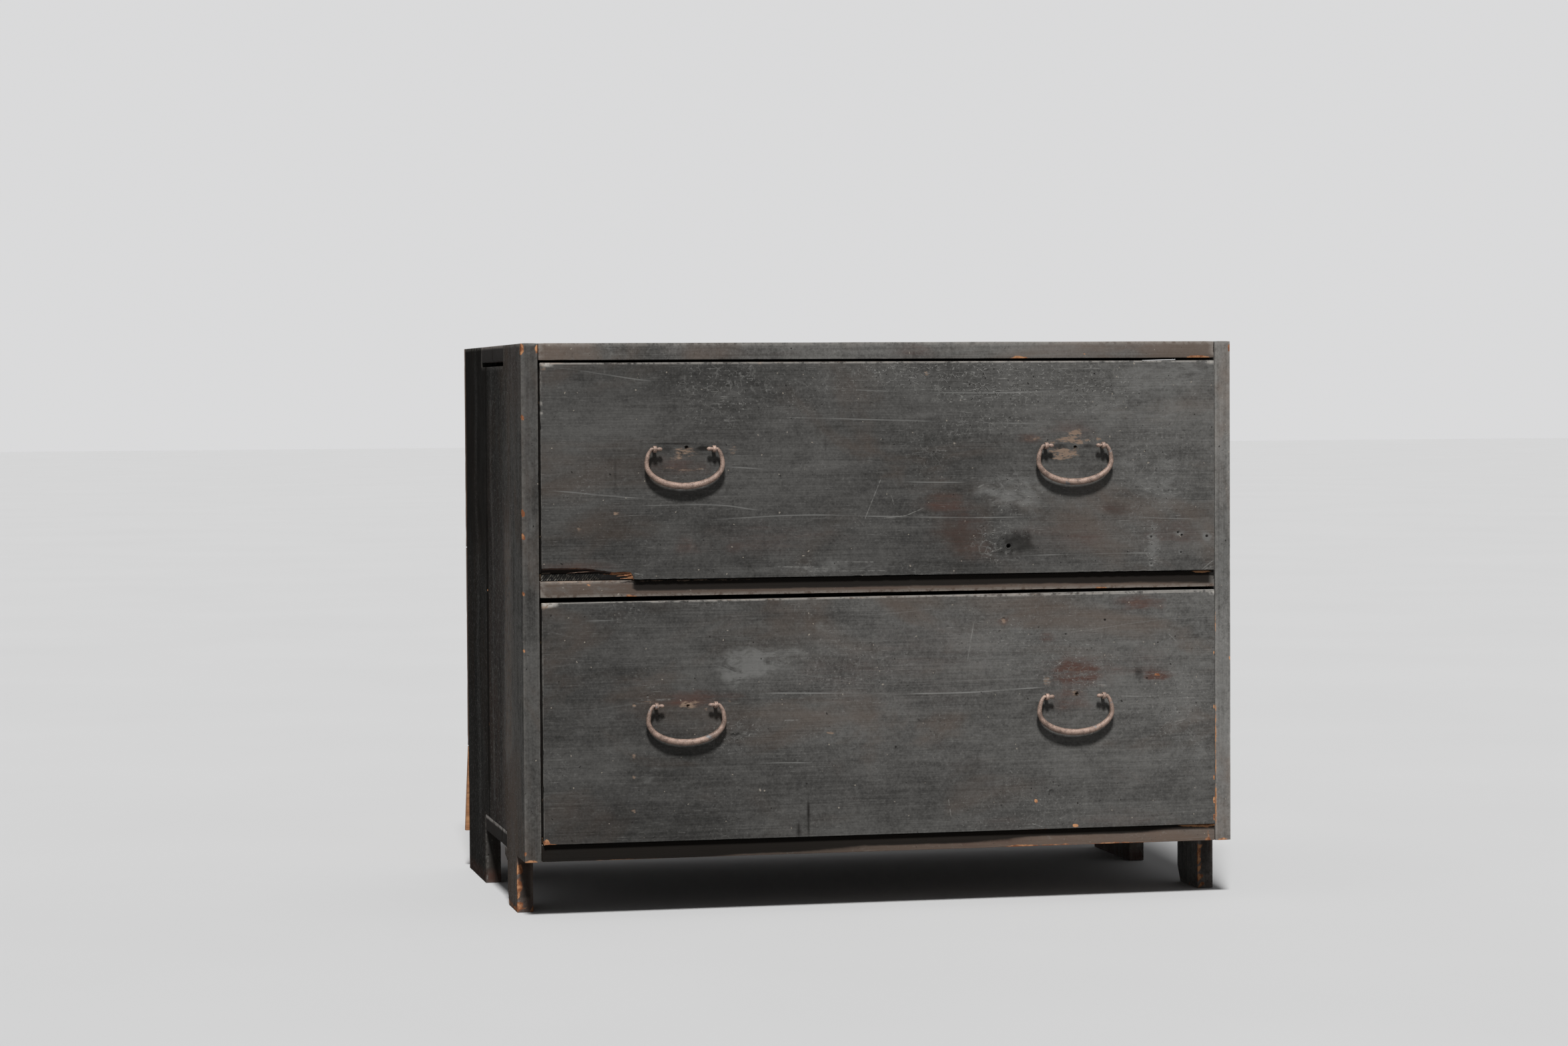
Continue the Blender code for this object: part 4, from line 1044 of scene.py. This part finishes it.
# The lower left corner is split off along the grain: the break runs back and down from the face,
# with a few splinters left standing in it.
BREAK_END_X, BREAK_FLOOR_Z = -0.3105, 0.4122
BREAK_GRID = 0.0016
BREAK_EDGE = (
    (-0.430, 0.4276), (-0.419, 0.4283), (-0.385, 0.4279), (-0.368, 0.4268), (-0.357, 0.4250),
    (-0.347, 0.4232), (-0.338, 0.4219), (-0.326, 0.4222), (-0.3175, 0.4218), (-0.3140, 0.4135),
    (-0.3125, 0.4110),
)


def break_height(x):
    """Height of the break's edge on the face at a place along the drawer."""
    height = float(np.interp(x, [place for place, _ in BREAK_EDGE], [z for _, z in BREAK_EDGE]))
    height += 0.0005 * noise.noise(Vector((x * 170, 3, 5)))
    return height + 0.0003 * noise.noise(Vector((x * 600, 9, 2)))


def break_corner(board, low):
    """Cuts the broken corner out of the drawer's front with a ragged block."""
    floor_z = low.z - 0.003
    corner = (BREAK_EDGE[-1][0], low.y + LAP_Y + 0.0006, low.z + 0.002)
    block = saw_board("break_block", (-0.440, low.y - 0.004, floor_z), corner)
    divide(BREAK_GRID)
    bpy.ops.object.mode_set(mode="OBJECT")
    points = places_of(block)
    for point in points:
        depth = min(1.0, max(0.0, (point[1] - low.y) / LAP_Y))
        share = (point[2] - low.z + 0.003) / 0.005
        edge = break_height(point[0])
        slope = 0.42 * depth + 0.05 * noise.noise(Vector((point[0] * 25, point[1] * 900, 4)))
        roof = edge - (edge - low.z) * slope
        point[2] = floor_z + share * (roof - low.z + 0.003)
        if point[0] > -0.32:
            point[0] -= 0.006 * depth + 0.0012 * noise.noise(Vector((1, point[1] * 700, point[2] * 500)))
    move_to(block, points)
    opening = board.modifiers.new("break", "BOOLEAN")
    opening.object = block
    opening.operation = "DIFFERENCE"
    opening.solver = "MANIFOLD"
    take(board)
    bpy.ops.object.modifier_apply(modifier="break")
    bpy.data.objects.remove(block)


SPLINTERS = (
    ((-313.0, 421.6), (-338.0, 419.9), 1.3, 2.0), ((-312.5, 417.6), (-335.0, 416.6), 1.2, 3.6),
    ((-312.5, 414.4), (-331.0, 413.4), 1.0, 2.2), ((-313.0, 419.5), (-326.0, 418.0), 0.9, 1.4),
    ((-312.0, 416.0), (-322.0, 415.2), 0.7, 1.2), ((-357.0, 423.4), (-396.0, 421.0), 0.8, 3.4),
)


def splinter(root, tip, thickness, behind):
    """Adds a long thin sliver that tapers and bends to its free end, all in millimetres."""
    root = Vector((root[0], 0, root[1])) / 1000
    tip = Vector((tip[0], 0, tip[1])) / 1000
    run = tip - root
    middle = (root + tip) / 2
    middle.y = FACE_Y - 0.005 + behind / 1000
    turn = run.to_track_quat("Z", "Y").to_euler()
    bpy.ops.object.select_all(action="DESELECT")
    bpy.ops.mesh.primitive_cone_add(
        vertices=6, radius1=thickness / 1000, radius2=thickness / 8000, depth=run.length,
        location=middle, rotation=turn,
    )
    sliver = settled("splinter")
    bpy.ops.object.mode_set(mode="EDIT")
    bpy.ops.mesh.subdivide(number_cuts=7)
    bpy.ops.object.mode_set(mode="OBJECT")
    points = places_of(sliver)
    for point in points:
        place = Vector(point)
        share = (place - middle).dot(run) / run.length_squared
        point[2] += 0.0006 * noise.noise(Vector((place.x * 90, thickness, 0)))
        point[2] += 0.0002 * noise.noise(place * 700)
        point[1] += 0.0004 * noise.noise(Vector((place.x * 120, 0, thickness * 9)))
        point[1] -= 0.0008 * max(0.0, share)
    move_to(sliver, points)
    return sliver


def broken(point):
    """Is 1 on the raw faces of the break and 0 on the face of the front."""
    inside = point.x < BREAK_END_X and point.z < break_height(point.x) + 0.0006
    return 1.0 if inside and point.y > BREAK_FRONT_Y and point.z > BREAK_FLOOR_Z else 0.0


def break_raw(point):
    """Raw wood on the splinters, and in a few streaks along the upper part of the break."""
    streak = noise.noise(Vector((point.x * 40, point.y * 500, point.z * 500)))
    if point.x > -0.342:
        return broken(point) * (0.95 + 0.5 * streak)
    return broken(point) * (0.30 + 0.55 * streak)


def break_soot(point):
    """Darkens the left part of the break, behind its edge."""
    return 1.3 * broken(point) * band(point.y, FACE_Y + 0.0005, FACE_Y + 0.1, 0.003) * (point.x < -0.335)


break_corner(upper_front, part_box("upper_drawer_front")[0])
take(*(splinter(*measures) for measures in SPLINTERS), upper_front)
bpy.ops.object.join()
paint_where(upper_front, "raw", break_raw)
paint_where(upper_front, "rubbed", lambda point: 1.6 * broken(point))
paint_where(upper_front, "soot", break_soot)
for front, top_z, bottom_z in ((upper_front, 0.6763, 0.4135), (lower_front, 0.3861, 0.0935)):
    # The top arris of each front is worn and also lightened as a painted highlight, where light from above
    # catches it.
    worn_and_lit_z = top_z - 0.0020
    paint_where(front, "arris", lambda point: 1.6 * (point.z > worn_and_lit_z and point.y < FACE_Y - 0.0036))
    plain_arris(front, lambda point: point.z < bottom_z)
    plain_arris(front, lambda point: point.x < -0.4262 and point.y > FACE_Y - 0.0042)
    # Painted shade: the left end of each front is darkened, as it lies in the gap beside the stile.
    paint_where(front, "soot", lambda point: 1.5 * (point.x < -0.4264 and point.y > BREAK_FRONT_Y))
paint(
    upper_front,
    arris=(
        (-421, 674, 8, 2.2, 3.4), (421, 674, 6, 2, 2.8), (-426.5, 627, 1.8, 1.2, 2.4),
        (-426.5, 615, 1.8, 1.2, 2.4), (-427, 655, 0.9, 14, 1.2),
    ),
    rubbed=(
        (92, 470, 32, 26, 0.6), (100, 478, 12, 20, 0.8), (78, 500, 30, 12, 0.9), (112, 440, 26, 14, 0.6),
        (225, 458, 50, 18, 0.5), (298, 492, 24, 7, 0.8), (238, 457, 24, 12, 0.4), (365, 460, 36, 18, 0.5),
        (-150, 460, 90, 20, 0.35), (-248, 450, 14, 12, 0.5), (-190, 450, 12, 10, 0.5),
        (-264, 547, 40, 12, 0.6), (240, 590, 30, 14, 0.5), (-380, 428, 50, 6, 0.6), (185, 580, 12, 6, 0.9),
    ),
    beige=(
        (-252, 567, 15, 7, 1.1), (-262, 560, 9, 4, 1), (-247, 545, 16, 2, 0.9), (-270, 547, 8, 2, 0.9),
        (-190, 570, 5, 8, 0.8), (-232, 546, 6, 2, 0.9), (243, 584, 11, 6, 1.4), (236, 578, 14, 4, 1.5),
        (250, 574, 11, 3, 1.4), (228, 564, 13, 3, 1.4), (236, 559, 16, 4, 1.45), (224, 555, 9, 2.5, 1.4),
        (246, 566, 8, 4, 1), (188, 580, 12, 3, 0.9), (262, 578, 6, 3, 0.8), (214, 574, 4, 3, 0.9),
        (276, 578, 3, 4, 1.2), (-412, 676, 18, 2, 1.3), (-424, 671, 4, 7, 1.1), (55, 661, 3, 3, 1.2),
        (-335, 493, 3, 2.5, 1.6), (-380, 474, 2.5, 2.5, 1.6), (-155, 675, 5, 2.5, 1.4),
        (55, 676, 420, 1, 0.7), (-378, 421.8, 18, 1, 1.2),
    ),
    # The broad pale patches towards the upper right are partly worn lacquer and partly painted light.
    pale=(
        (165, 515, 45, 22, 0.9), (358, 530, 24, 40, 0.8), (380, 655, 70, 26, 0.9), (330, 620, 80, 30, 0.6),
        (347, 445, 8, 30, 1.1), (158, 448, 16, 16, 0.8), (380, 460, 6, 5, 1.3), (417, 455, 5, 5, 1.3),
        (383, 435, 4, 4, 1.2), (344, 455, 4, 4, 1.5), (344, 421, 4, 4, 1.5), (120, 640, 90, 30, 0.4),
        (-340, 600, 70, 60, 0.2), (-170, 640, 50, 24, 0.35), (140, 655, 70, 18, 0.35),
        (60, 570, 40, 16, 0.25), (-70, 424, 90, 8, 0.6), (330, 552, 30, 12, 0.6),
    ),
    soot=(
        (-336, 544, 3, 26, 0.6), (-75, 574, 3, 14, 0.45), (-153, 455, 3, 12, 0.45),
        (-138, 453, 2.5, 10, 0.4), (-250, 450, 8, 8, 0.35), (-190, 450, 8, 8, 0.35),
        (168, 447, 30, 17, 0.8), (150, 441, 10, 8, 0.7), (312, 508, 14, 4, 0.5), (275, 503, 7, 5, 0.4),
        (92, 470, 34, 30, 0.45), (298, 492, 26, 9, 0.5), (370, 470, 50, 24, 0.35), (379, 460, 1.6, 1.6, 1),
        (384, 457, 1.4, 1.4, 1), (417, 455, 1.5, 1.5, 1), (383, 435, 1.2, 1.2, 1), (344, 455, 1.2, 1.2, 1),
        (344, 421, 1.2, 1.2, 1), (-264, 577, 42, 1.6, 0.8), (-229, 571, 11, 3.5, 0.9),
        (-271, 571, 9, 3.5, 0.7), (227, 569.5, 11, 3.5, 0.7), (261, 569.5, 11, 3.5, 0.7),
        (158.5, 446, 2.8, 2.8, 3), (-248, 572.5, 2.2, 2, 2), (245, 568.5, 2.2, 2, 2),
        (330, 470, 60, 26, 0.25), (300, 448, 70, 30, 0.2), (205, 450, 50, 18, 0.35),
        (60, 440, 50, 20, 0.25),
    ),
    dented=(
        (-200, 645, 50, 34, 0.7), (-60, 650, 60, 20, 0.4), (45, 662, 60, 16, 1.3), (145, 650, 80, 26, 1.8),
        (250, 645, 60, 28, 1.1), (130, 600, 60, 16, 0.7), (350, 540, 40, 60, 0.5), (150, 450, 30, 20, 1),
        (345, 440, 10, 36, 0.8), (160, 510, 30, 30, 0.5),
    ),
)
paint(
    lower_front,
    arris=(
        (-419, 384, 9, 2.6, 3.4), (424, 384, 4, 2.2, 3), (110, 385.5, 110, 1, 2), (-427, 300, 0.9, 40, 0.9),
    ),
    rubbed=(
        (-245, 265, 62, 8, 1), (250, 286, 38, 17, 1.35), (352, 281, 16, 7, 1.9), (328, 372, 26, 10, 1.1),
        (208, 332, 10, 6, 0.8), (230, 240, 8, 4, 0.7), (236, 252, 26, 16, 0.9), (330, 290, 40, 10, 0.7),
        (-45, 288, 55, 30, 0.35), (60, 300, 90, 60, 0.25), (152, 354, 8, 6, 0.9), (300, 100, 60, 14, 0.35),
        (345, 296, 30, 20, 0.5), (150, 100, 40, 10, 0.3), (-310, 250, 20, 14, 0.3),
    ),
    beige=(
        (-248, 258, 11, 6, 1.3), (-226, 252, 4, 2.5, 1), (-197, 261, 3, 2.5, 1.1), (-315, 259, 3, 3, 1.2),
        (-315, 197, 2.5, 3.5, 1.2), (-315, 172, 2.5, 3, 1.2), (-317, 130, 2.5, 2.5, 1.1),
        (-422, 383, 9, 4.5, 1.6), (0, 385.5, 430, 1, 0.8), (247, 261, 9, 4, 0.9), (207, 277, 6, 6, 0.9),
        (279, 270, 6, 2.5, 1), (-70, 219, 5, 2.5, 1.2), (152, 354, 5, 4, 1.3), (248, 290, 16, 5, 0.5),
        (352, 280, 8, 3, 0.8), (328, 372, 24, 8, 0.55), (-300, 262, 12, 2, 0.8),
    ),
    # The broad pale patches along the right end are partly worn lacquer and partly painted light.
    pale=(
        (-420, 383, 9, 3, 2), (-172, 308, 42, 16, 1.35), (-188, 298, 16, 18, 1.35), (-150, 316, 26, 9, 1.2),
        (-108, 322, 11, 8, 0.7), (-84, 352, 11, 7, 0.7), (-296, 168, 10, 6, 0.7), (-290, 180, 8, 5, 0.6),
        (322, 270, 8, 5, 0.9), (392, 250, 36, 120, 0.5), (140, 220, 90, 60, 0.25), (350, 190, 60, 60, 0.25),
        (-10, 270, 90, 40, 0.2), (410, 340, 20, 40, 0.5),
    ),
    soot=(
        (-248, 257, 2, 2, 2), (246, 260, 2, 2, 2), (-111, 101, 4, 12, 0.9), (-98, 114, 1.6, 24, 0.9),
        (327, 283, 6, 12, 0.75), (213, 138, 5, 4, 0.5), (197, 344, 1.1, 1.1, 1), (232, 335, 1.1, 1.1, 1),
        (283, 352, 1.3, 1.3, 1.1), (-330, 110, 90, 30, 0.25), (-190, 220, 8, 2, 0.7),
        (-300, 240, 60, 50, 0.12),
    ),
    raw=(
        (-424, 94.5, 4, 4.5, 1.4), (-419, 91.5, 8, 1.5, 1.3), (-126, 105, 2, 1, 1),
        (193, 127, 1.5, 2.8, 1.3), (244, 95, 3, 2.4, 1.3), (190, 91, 26, 1.2, 0.9), (426, 150, 1.3, 3, 1.3),
        (426, 122, 1.3, 3.5, 1.2), (426, 100, 1.3, 4, 1.2), (426, 240, 1.2, 3, 1.1),
        (426, 308, 1.2, 3, 1.1), (352, 282, 5, 2, 1),
    ),
    dented=(
        (-190, 220, 30, 20, 0.5), (-40, 300, 60, 40, 0.35), (245, 300, 40, 40, 0.6),
        (380, 240, 40, 60, 0.5), (150, 340, 60, 30, 0.4), (200, 120, 60, 40, 0.3),
    ),
)
finish_piece(upper_front, upper_lacquer, "upper_drawer", "lacquered_front", "upper_drawer_front")
finish_piece(lower_front, lower_lacquer, "lower_drawer", "lacquered_front", "lower_drawer_front")


# Drawer boxes: thin bare softwood, pegged with bamboo into the lapped ends of the fronts. The upper
# drawer's bottom shows through the break, its front edge hacked into slanting teeth.
SHOWN_X = -0.342
BOX_GRID, BOX_ROUND = 0.0081, 0.0003
TEETH = (-0.440, -0.362, 0.016)
TOOTH_WIDTH, TOOTH_DEPTH, TOOTH_BACK = 3.1, 0.0011, 0.0030


def toothed_bottom(name, node):
    """Adds the upper drawer's bottom with the teeth that someone hacked into its front edge."""
    low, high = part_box(node)
    board = saw_board(name, low, high)
    scribe(X, SHOWN_X)
    scribe(Y, low.y + 0.004)
    divide(BOX_GRID)
    refine(lambda middle: middle.x < SHOWN_X, 11)
    round_arrises(BOX_ROUND)
    wear(board, 71, wave=0.0002, nick=0.0003)
    points = places_of(board)
    for point in points:
        if point[1] < low.y + 0.0015:
            x, z = point[0] * 1000, (point[2] - low.z) * 1000
            turn = (x - 0.7 * z + 1.2 * noise.noise(Vector((x * 0.09, z * 0.3, 2)))) / TOOTH_WIDTH
            cut = max(0.0, math.sin(2 * math.pi * turn)) * band(point[0], *TEETH)
            point[1] += TOOTH_DEPTH * cut
    move_to(board, points)

    def tooth(point):
        crest = max(0.0, 1 - (point.y - low.y - 0.0001) / 0.0004)
        crest *= band(point.x, *TEETH) * (point.y <= low.y + TOOTH_BACK)
        return crest * (0.20 + 1.2 * noise.noise(point * 260))

    paint_where(board, "pale", tooth)
    paint_where(board, "soot", lambda point: 1.2 * (point.y < low.y + TOOTH_BACK))
    return board


box_lengthways = bare_wood("drawer_side_softwood", 1, (0.7, 3.3, 1.8), dirty_and_shaded_to=FACE_Y + 0.030)
box_crossways = bare_wood("drawer_back_softwood", 0, (6.4, 0.2, 2.8))
bamboo = bare_wood("bamboo", 0, (3.3, 3.1, 3.7), (0.50, 0.36, 0.19), (0.32, 0.21, 0.10))
hacked_bottom = toothed_bottom("upper_drawer_hacked_bottom", "upper_drawer_bottom")
finish_piece(hacked_bottom, box_crossways, "upper_drawer", "bare_cedar", "upper_drawer_bottom")
refinish(box_crossways, "lower_drawer_bottom")
for drawer in ("upper_drawer", "lower_drawer"):
    refinish(box_lengthways, f"{drawer}_left_side", f"{drawer}_right_side")
    refinish(box_crossways, f"{drawer}_back")
    for side in ("left", "right"):
        refinish(bamboo, f"{drawer}_{side}_lower_peg", f"{drawer}_{side}_upper_peg")


# Split pins: a strip of forged iron bent round into an eye that carries the end of a bail. Its two
# legs are driven through the front, and their ends are spread flat against its inside.
PIN_WIDTH, STRIP = 0.0042, 0.0014
EYE_RADIUS, EYE_X = 0.0034, 0.0368
HANDLE_HEIGHTS = {"upper": 0.5705, "lower": 0.2580}
HANDLE_XS = {"left": -0.252, "right": 0.242}
BAIL_Y, INSIDE_Y = FACE_Y - 0.014, FACE_Y + 0.0173
PIN_ROUND = 0.0004

pin_iron = rusted_iron("pin_iron", (1.3, 0.7, 0.2), 1.2)


def pick_points(pin, within):
    """Selects the points of the edited pin that pass a test, and no others."""
    bpy.ops.mesh.select_all(action="DESELECT")
    mesh = bmesh.from_edit_mesh(pin.data)
    for vert in mesh.verts:
        vert.select = within(vert.co)
    bmesh.update_edit_mesh(pin.data)


def split_pin(name, x, z):
    """Bends one strip: an open eye, two legs through the wood and their spread ends."""
    bpy.ops.object.select_all(action="DESELECT")
    bpy.ops.mesh.primitive_circle_add(
        vertices=24, radius=EYE_RADIUS, location=(x, BAIL_Y, z), rotation=(0, math.radians(90), 0),
    )
    pin = settled(name)
    bpy.ops.object.mode_set(mode="EDIT")
    bpy.ops.mesh.select_mode(type="VERT")
    pick_points(pin, lambda place: place.y > BAIL_Y + EYE_RADIUS * 0.93)
    bpy.ops.mesh.delete(type="VERT")
    for sign in (1, -1):
        mesh = bmesh.from_edit_mesh(pin.data)
        end_y = max(vert.co.y for vert in mesh.verts if sign * (vert.co.z - z) > 0)
        pick_points(pin, lambda place: place.y == end_y and sign * (place.z - z) > 0)
        leg_z = z + sign * (STRIP / 2 + 0.0002)
        bends = (
            (BAIL_Y + 0.0052, leg_z), (INSIDE_Y - 0.002, leg_z),
            (INSIDE_Y + STRIP / 2, leg_z + sign * 0.0012), (INSIDE_Y + STRIP / 2, z + sign * 0.014),
        )
        for bend_y, bend_z in bends:
            mesh = bmesh.from_edit_mesh(pin.data)
            last = next(vert for vert in mesh.verts if vert.select)
            move = (0, bend_y - last.co.y, bend_z - last.co.z)
            bpy.ops.mesh.extrude_region_move(TRANSFORM_OT_translate={"value": move})
    bpy.ops.mesh.select_all(action="SELECT")
    bpy.ops.transform.translate(value=(-PIN_WIDTH / 2, 0, 0))
    bpy.ops.mesh.extrude_region_move(TRANSFORM_OT_translate={"value": (PIN_WIDTH, 0, 0)})
    bpy.ops.mesh.select_all(action="SELECT")
    bpy.ops.mesh.normals_make_consistent(inside=False)
    bpy.ops.object.mode_set(mode="OBJECT")
    thickness = pin.modifiers.new("strip", "SOLIDIFY")
    thickness.thickness = STRIP
    thickness.offset = 0
    edges = pin.modifiers.new("soft edges", "BEVEL")
    edges.width = PIN_ROUND
    edges.segments = 2
    for modifier in ("strip", "soft edges"):
        bpy.ops.object.modifier_apply(modifier=modifier)
    bpy.ops.object.mode_set(mode="EDIT")
    bpy.ops.mesh.select_all(action="SELECT")
    bpy.ops.mesh.normals_make_consistent(inside=False)
    bpy.ops.object.mode_set(mode="OBJECT")
    return pin


for level, z in HANDLE_HEIGHTS.items():
    for side, handle_x in HANDLE_XS.items():
        for pin_side, sign in (("left", -1), ("right", 1)):
            node = f"{level}_drawer_{side}_handle_{pin_side}_pin"
            pin = split_pin(f"{level}_{side}_{pin_side}_split_pin", handle_x + sign * EYE_X, z)
            finish_piece(pin, pin_iron, f"{level}_drawer", "rusted_iron", node)


# Bails: a round bar forged thick in the middle and thin at its ends, which turn in through the
# eyes and are hammered into small knobs.
BAIL_HALF, BAIL_DROP, WIDEST_DROP = 0.047, 0.045, 0.0185
KNOB_X, KNOB_HALF, KNOB_THICKNESS = 0.0306, 0.0034, 0.0027
KNOB_SWELL = ((-1.0, 0.15), (-0.92, 0.45), (-0.7, 0.72), (-0.4, 0.93), (0.0, 1.0), (0.4, 0.95), (0.75, 0.78))
END_THICKNESS, WIDEST_THICKNESS, MIDDLE_THICKNESS = 0.0023, 0.0031, 0.0042
FIRST_TURN = 0.55
SHOULDER_STEPS, GRIP_STEPS = 13, 24
PIT_DEPTH = 0.0003


def bail_course():
    """Returns half of the bar's course as (across, height, thickness) from knob to middle."""
    course = [(KNOB_X + share * KNOB_HALF, 0, swell * KNOB_THICKNESS) for share, swell in KNOB_SWELL]
    course.append((KNOB_X + 0.0036, 0, END_THICKNESS))
    bend_x = EYE_X + 0.0040
    first_sine = math.sin(FIRST_TURN)
    for step in range(SHOULDER_STEPS):
        turn = FIRST_TURN + (math.pi / 2 - FIRST_TURN) * step / SHOULDER_STEPS
        across = bend_x + (BAIL_HALF - bend_x) * (math.sin(turn) - first_sine) / (1 - first_sine)
        thickness = END_THICKNESS + (WIDEST_THICKNESS - END_THICKNESS) * step / SHOULDER_STEPS
        course.append((across, -WIDEST_DROP * (1 - math.cos(turn) / math.cos(FIRST_TURN)), thickness))
    for step in range(GRIP_STEPS + 1):
        turn = math.pi / 2 * step / GRIP_STEPS
        height = -WIDEST_DROP - (BAIL_DROP - WIDEST_DROP) * math.sin(turn)
        thickness = WIDEST_THICKNESS + (MIDDLE_THICKNESS - WIDEST_THICKNESS) * math.sin(turn)
        course.append((BAIL_HALF * math.cos(turn), height, thickness))
    return course


def forge_bail(name, x, z, seed):
    """Adds a bail as a bar along its course, then pits it."""
    half = bail_course()
    course = half + [(-across, height, thickness) for across, height, thickness in half[-2::-1]]
    bpy.ops.object.select_all(action="DESELECT")
    bpy.ops.curve.primitive_nurbs_path_add(location=(0, 0, 0))
    bar = bpy.context.object
    bar.name = name
    bar.data.splines.clear()
    spline = bar.data.splines.new("POLY")
    spline.points.add(len(course) - 1)
    for point, (across, height, thickness) in zip(spline.points, course):
        point.co = (x + across, BAIL_Y, z + height, 1)
        point.radius = thickness
    bar.data.bevel_depth = 1.0
    bar.data.bevel_resolution = 6
    bar.data.use_fill_caps = True
    bpy.ops.object.convert(target="MESH")
    bar.data.name = name
    bpy.ops.object.mode_set(mode="EDIT")
    bpy.ops.mesh.select_all(action="SELECT")
    bpy.ops.mesh.remove_doubles(threshold=0.00002)
    bpy.ops.mesh.normals_make_consistent(inside=False)
    bpy.ops.object.mode_set(mode="OBJECT")
    points, normals = places_of(bar), rows_of(bar, "normal")
    for index, point in enumerate(points):
        place = Vector(point) + Vector((seed, seed * 2.0, 0))
        pitted = 0.5 + 0.5 * noise.noise(place * 130) + 0.6 * max(0, noise.noise(place * 380))
        points[index] = point - normals[index] * PIT_DEPTH * pitted
    move_to(bar, points)
    return bar


bail_iron = rusted_iron("bail_iron", (2.3, 4.1, 0.9))
for level, z in HANDLE_HEIGHTS.items():
    for side, handle_x in HANDLE_XS.items():
        bar = forge_bail(f"{level}_{side}_forged_bail", handle_x, z, len(level) + handle_x * 9)
        finish_piece(bar, bail_iron, f"{level}_{side}_bail", "rusted_iron", f"{level}_drawer_{side}_bail")


# The studio: a pale floor under an even pale backdrop, broad soft light from above and in front
# of the chest, and the camera where the photograph was taken.
FLOOR_PALE, FLOOR_PALER, FLOOR_BOUNCE = (0.50, 0.50, 0.50), (0.53, 0.53, 0.53), (0.20, 0.20, 0.20)
SKY_LIGHT, SKY_SEEN = (0.12, 0.12, 0.122), (0.70, 0.70, 0.705)
LAMP_STRENGTH, LAMP_WIDTH = 4.3, 0.16
LAMP_TILT, LAMP_TURN = math.radians(36), math.radians(-12)
CAMERA_PLACE = (-1.0936, -4.6912, 0.6374)
CAMERA_DOWN, CAMERA_TURN, CAMERA_ROLL = 0.035, -0.2148, -0.006


def seen_rays(tree):
    """Is 1 for what is seen, directly or in a gloss, and 0 for light on its way."""
    rays = tree.nodes.new("ShaderNodeLightPath")
    seen = rays.outputs["Is Camera Ray"]
    for kind in ("Is Glossy Ray", "Is Transmission Ray"):
        either = tree.nodes.new("ShaderNodeMath")
        either.operation = "MAXIMUM"
        tree.links.new(seen, either.inputs[0])
        tree.links.new(rays.outputs[kind], either.inputs[1])
        seen = either.outputs[0]
    return seen


bpy.ops.object.select_all(action="DESELECT")
bpy.ops.mesh.primitive_plane_add(size=60, location=(0, 10, 0))
floor = settled("floor")
paper = Finish("floor_paper")
tone = paper.cloud(paper.place(), 1.5, 3.0, 0.5)
floor_colour = paper.over(FLOOR_BOUNCE, paper.over(FLOOR_PALE, FLOOR_PALER, tone), seen_rays(paper.tree))
floor.data.materials.append(paper.done(floor_colour, 0.9, paper.relief(tone, 0.0005, 0.1)))

world = bpy.data.worlds.new("studio")
world.use_nodes = True
bpy.context.scene.world = world
sky = world.node_tree
backdrop = sky.nodes.new("ShaderNodeMix")
backdrop.data_type = "RGBA"
backdrop.inputs[6].default_value = (*SKY_LIGHT, 1)
backdrop.inputs[7].default_value = (*SKY_SEEN, 1)
sky.links.new(seen_rays(sky), backdrop.inputs["Factor"])
sky.links.new(backdrop.outputs[2], sky.nodes["Background"].inputs["Color"])

bpy.ops.object.light_add(type="SUN", location=(0, -2, 3))
lamp = bpy.context.object
lamp.name = "soft_light"
lamp.data.energy = LAMP_STRENGTH
lamp.data.angle = LAMP_WIDTH
lamp.rotation_euler = (LAMP_TILT, 0, LAMP_TURN)

bpy.ops.object.camera_add(location=CAMERA_PLACE)
camera = bpy.context.object
camera.data.lens = 85
camera.data.sensor_width = 36
camera.rotation_euler = (math.pi / 2 - CAMERA_DOWN, 0, CAMERA_TURN)
camera.rotation_euler.rotate_axis("Z", CAMERA_ROLL)
bpy.context.scene.camera = camera
bpy.context.scene.view_settings.view_transform = "Standard"
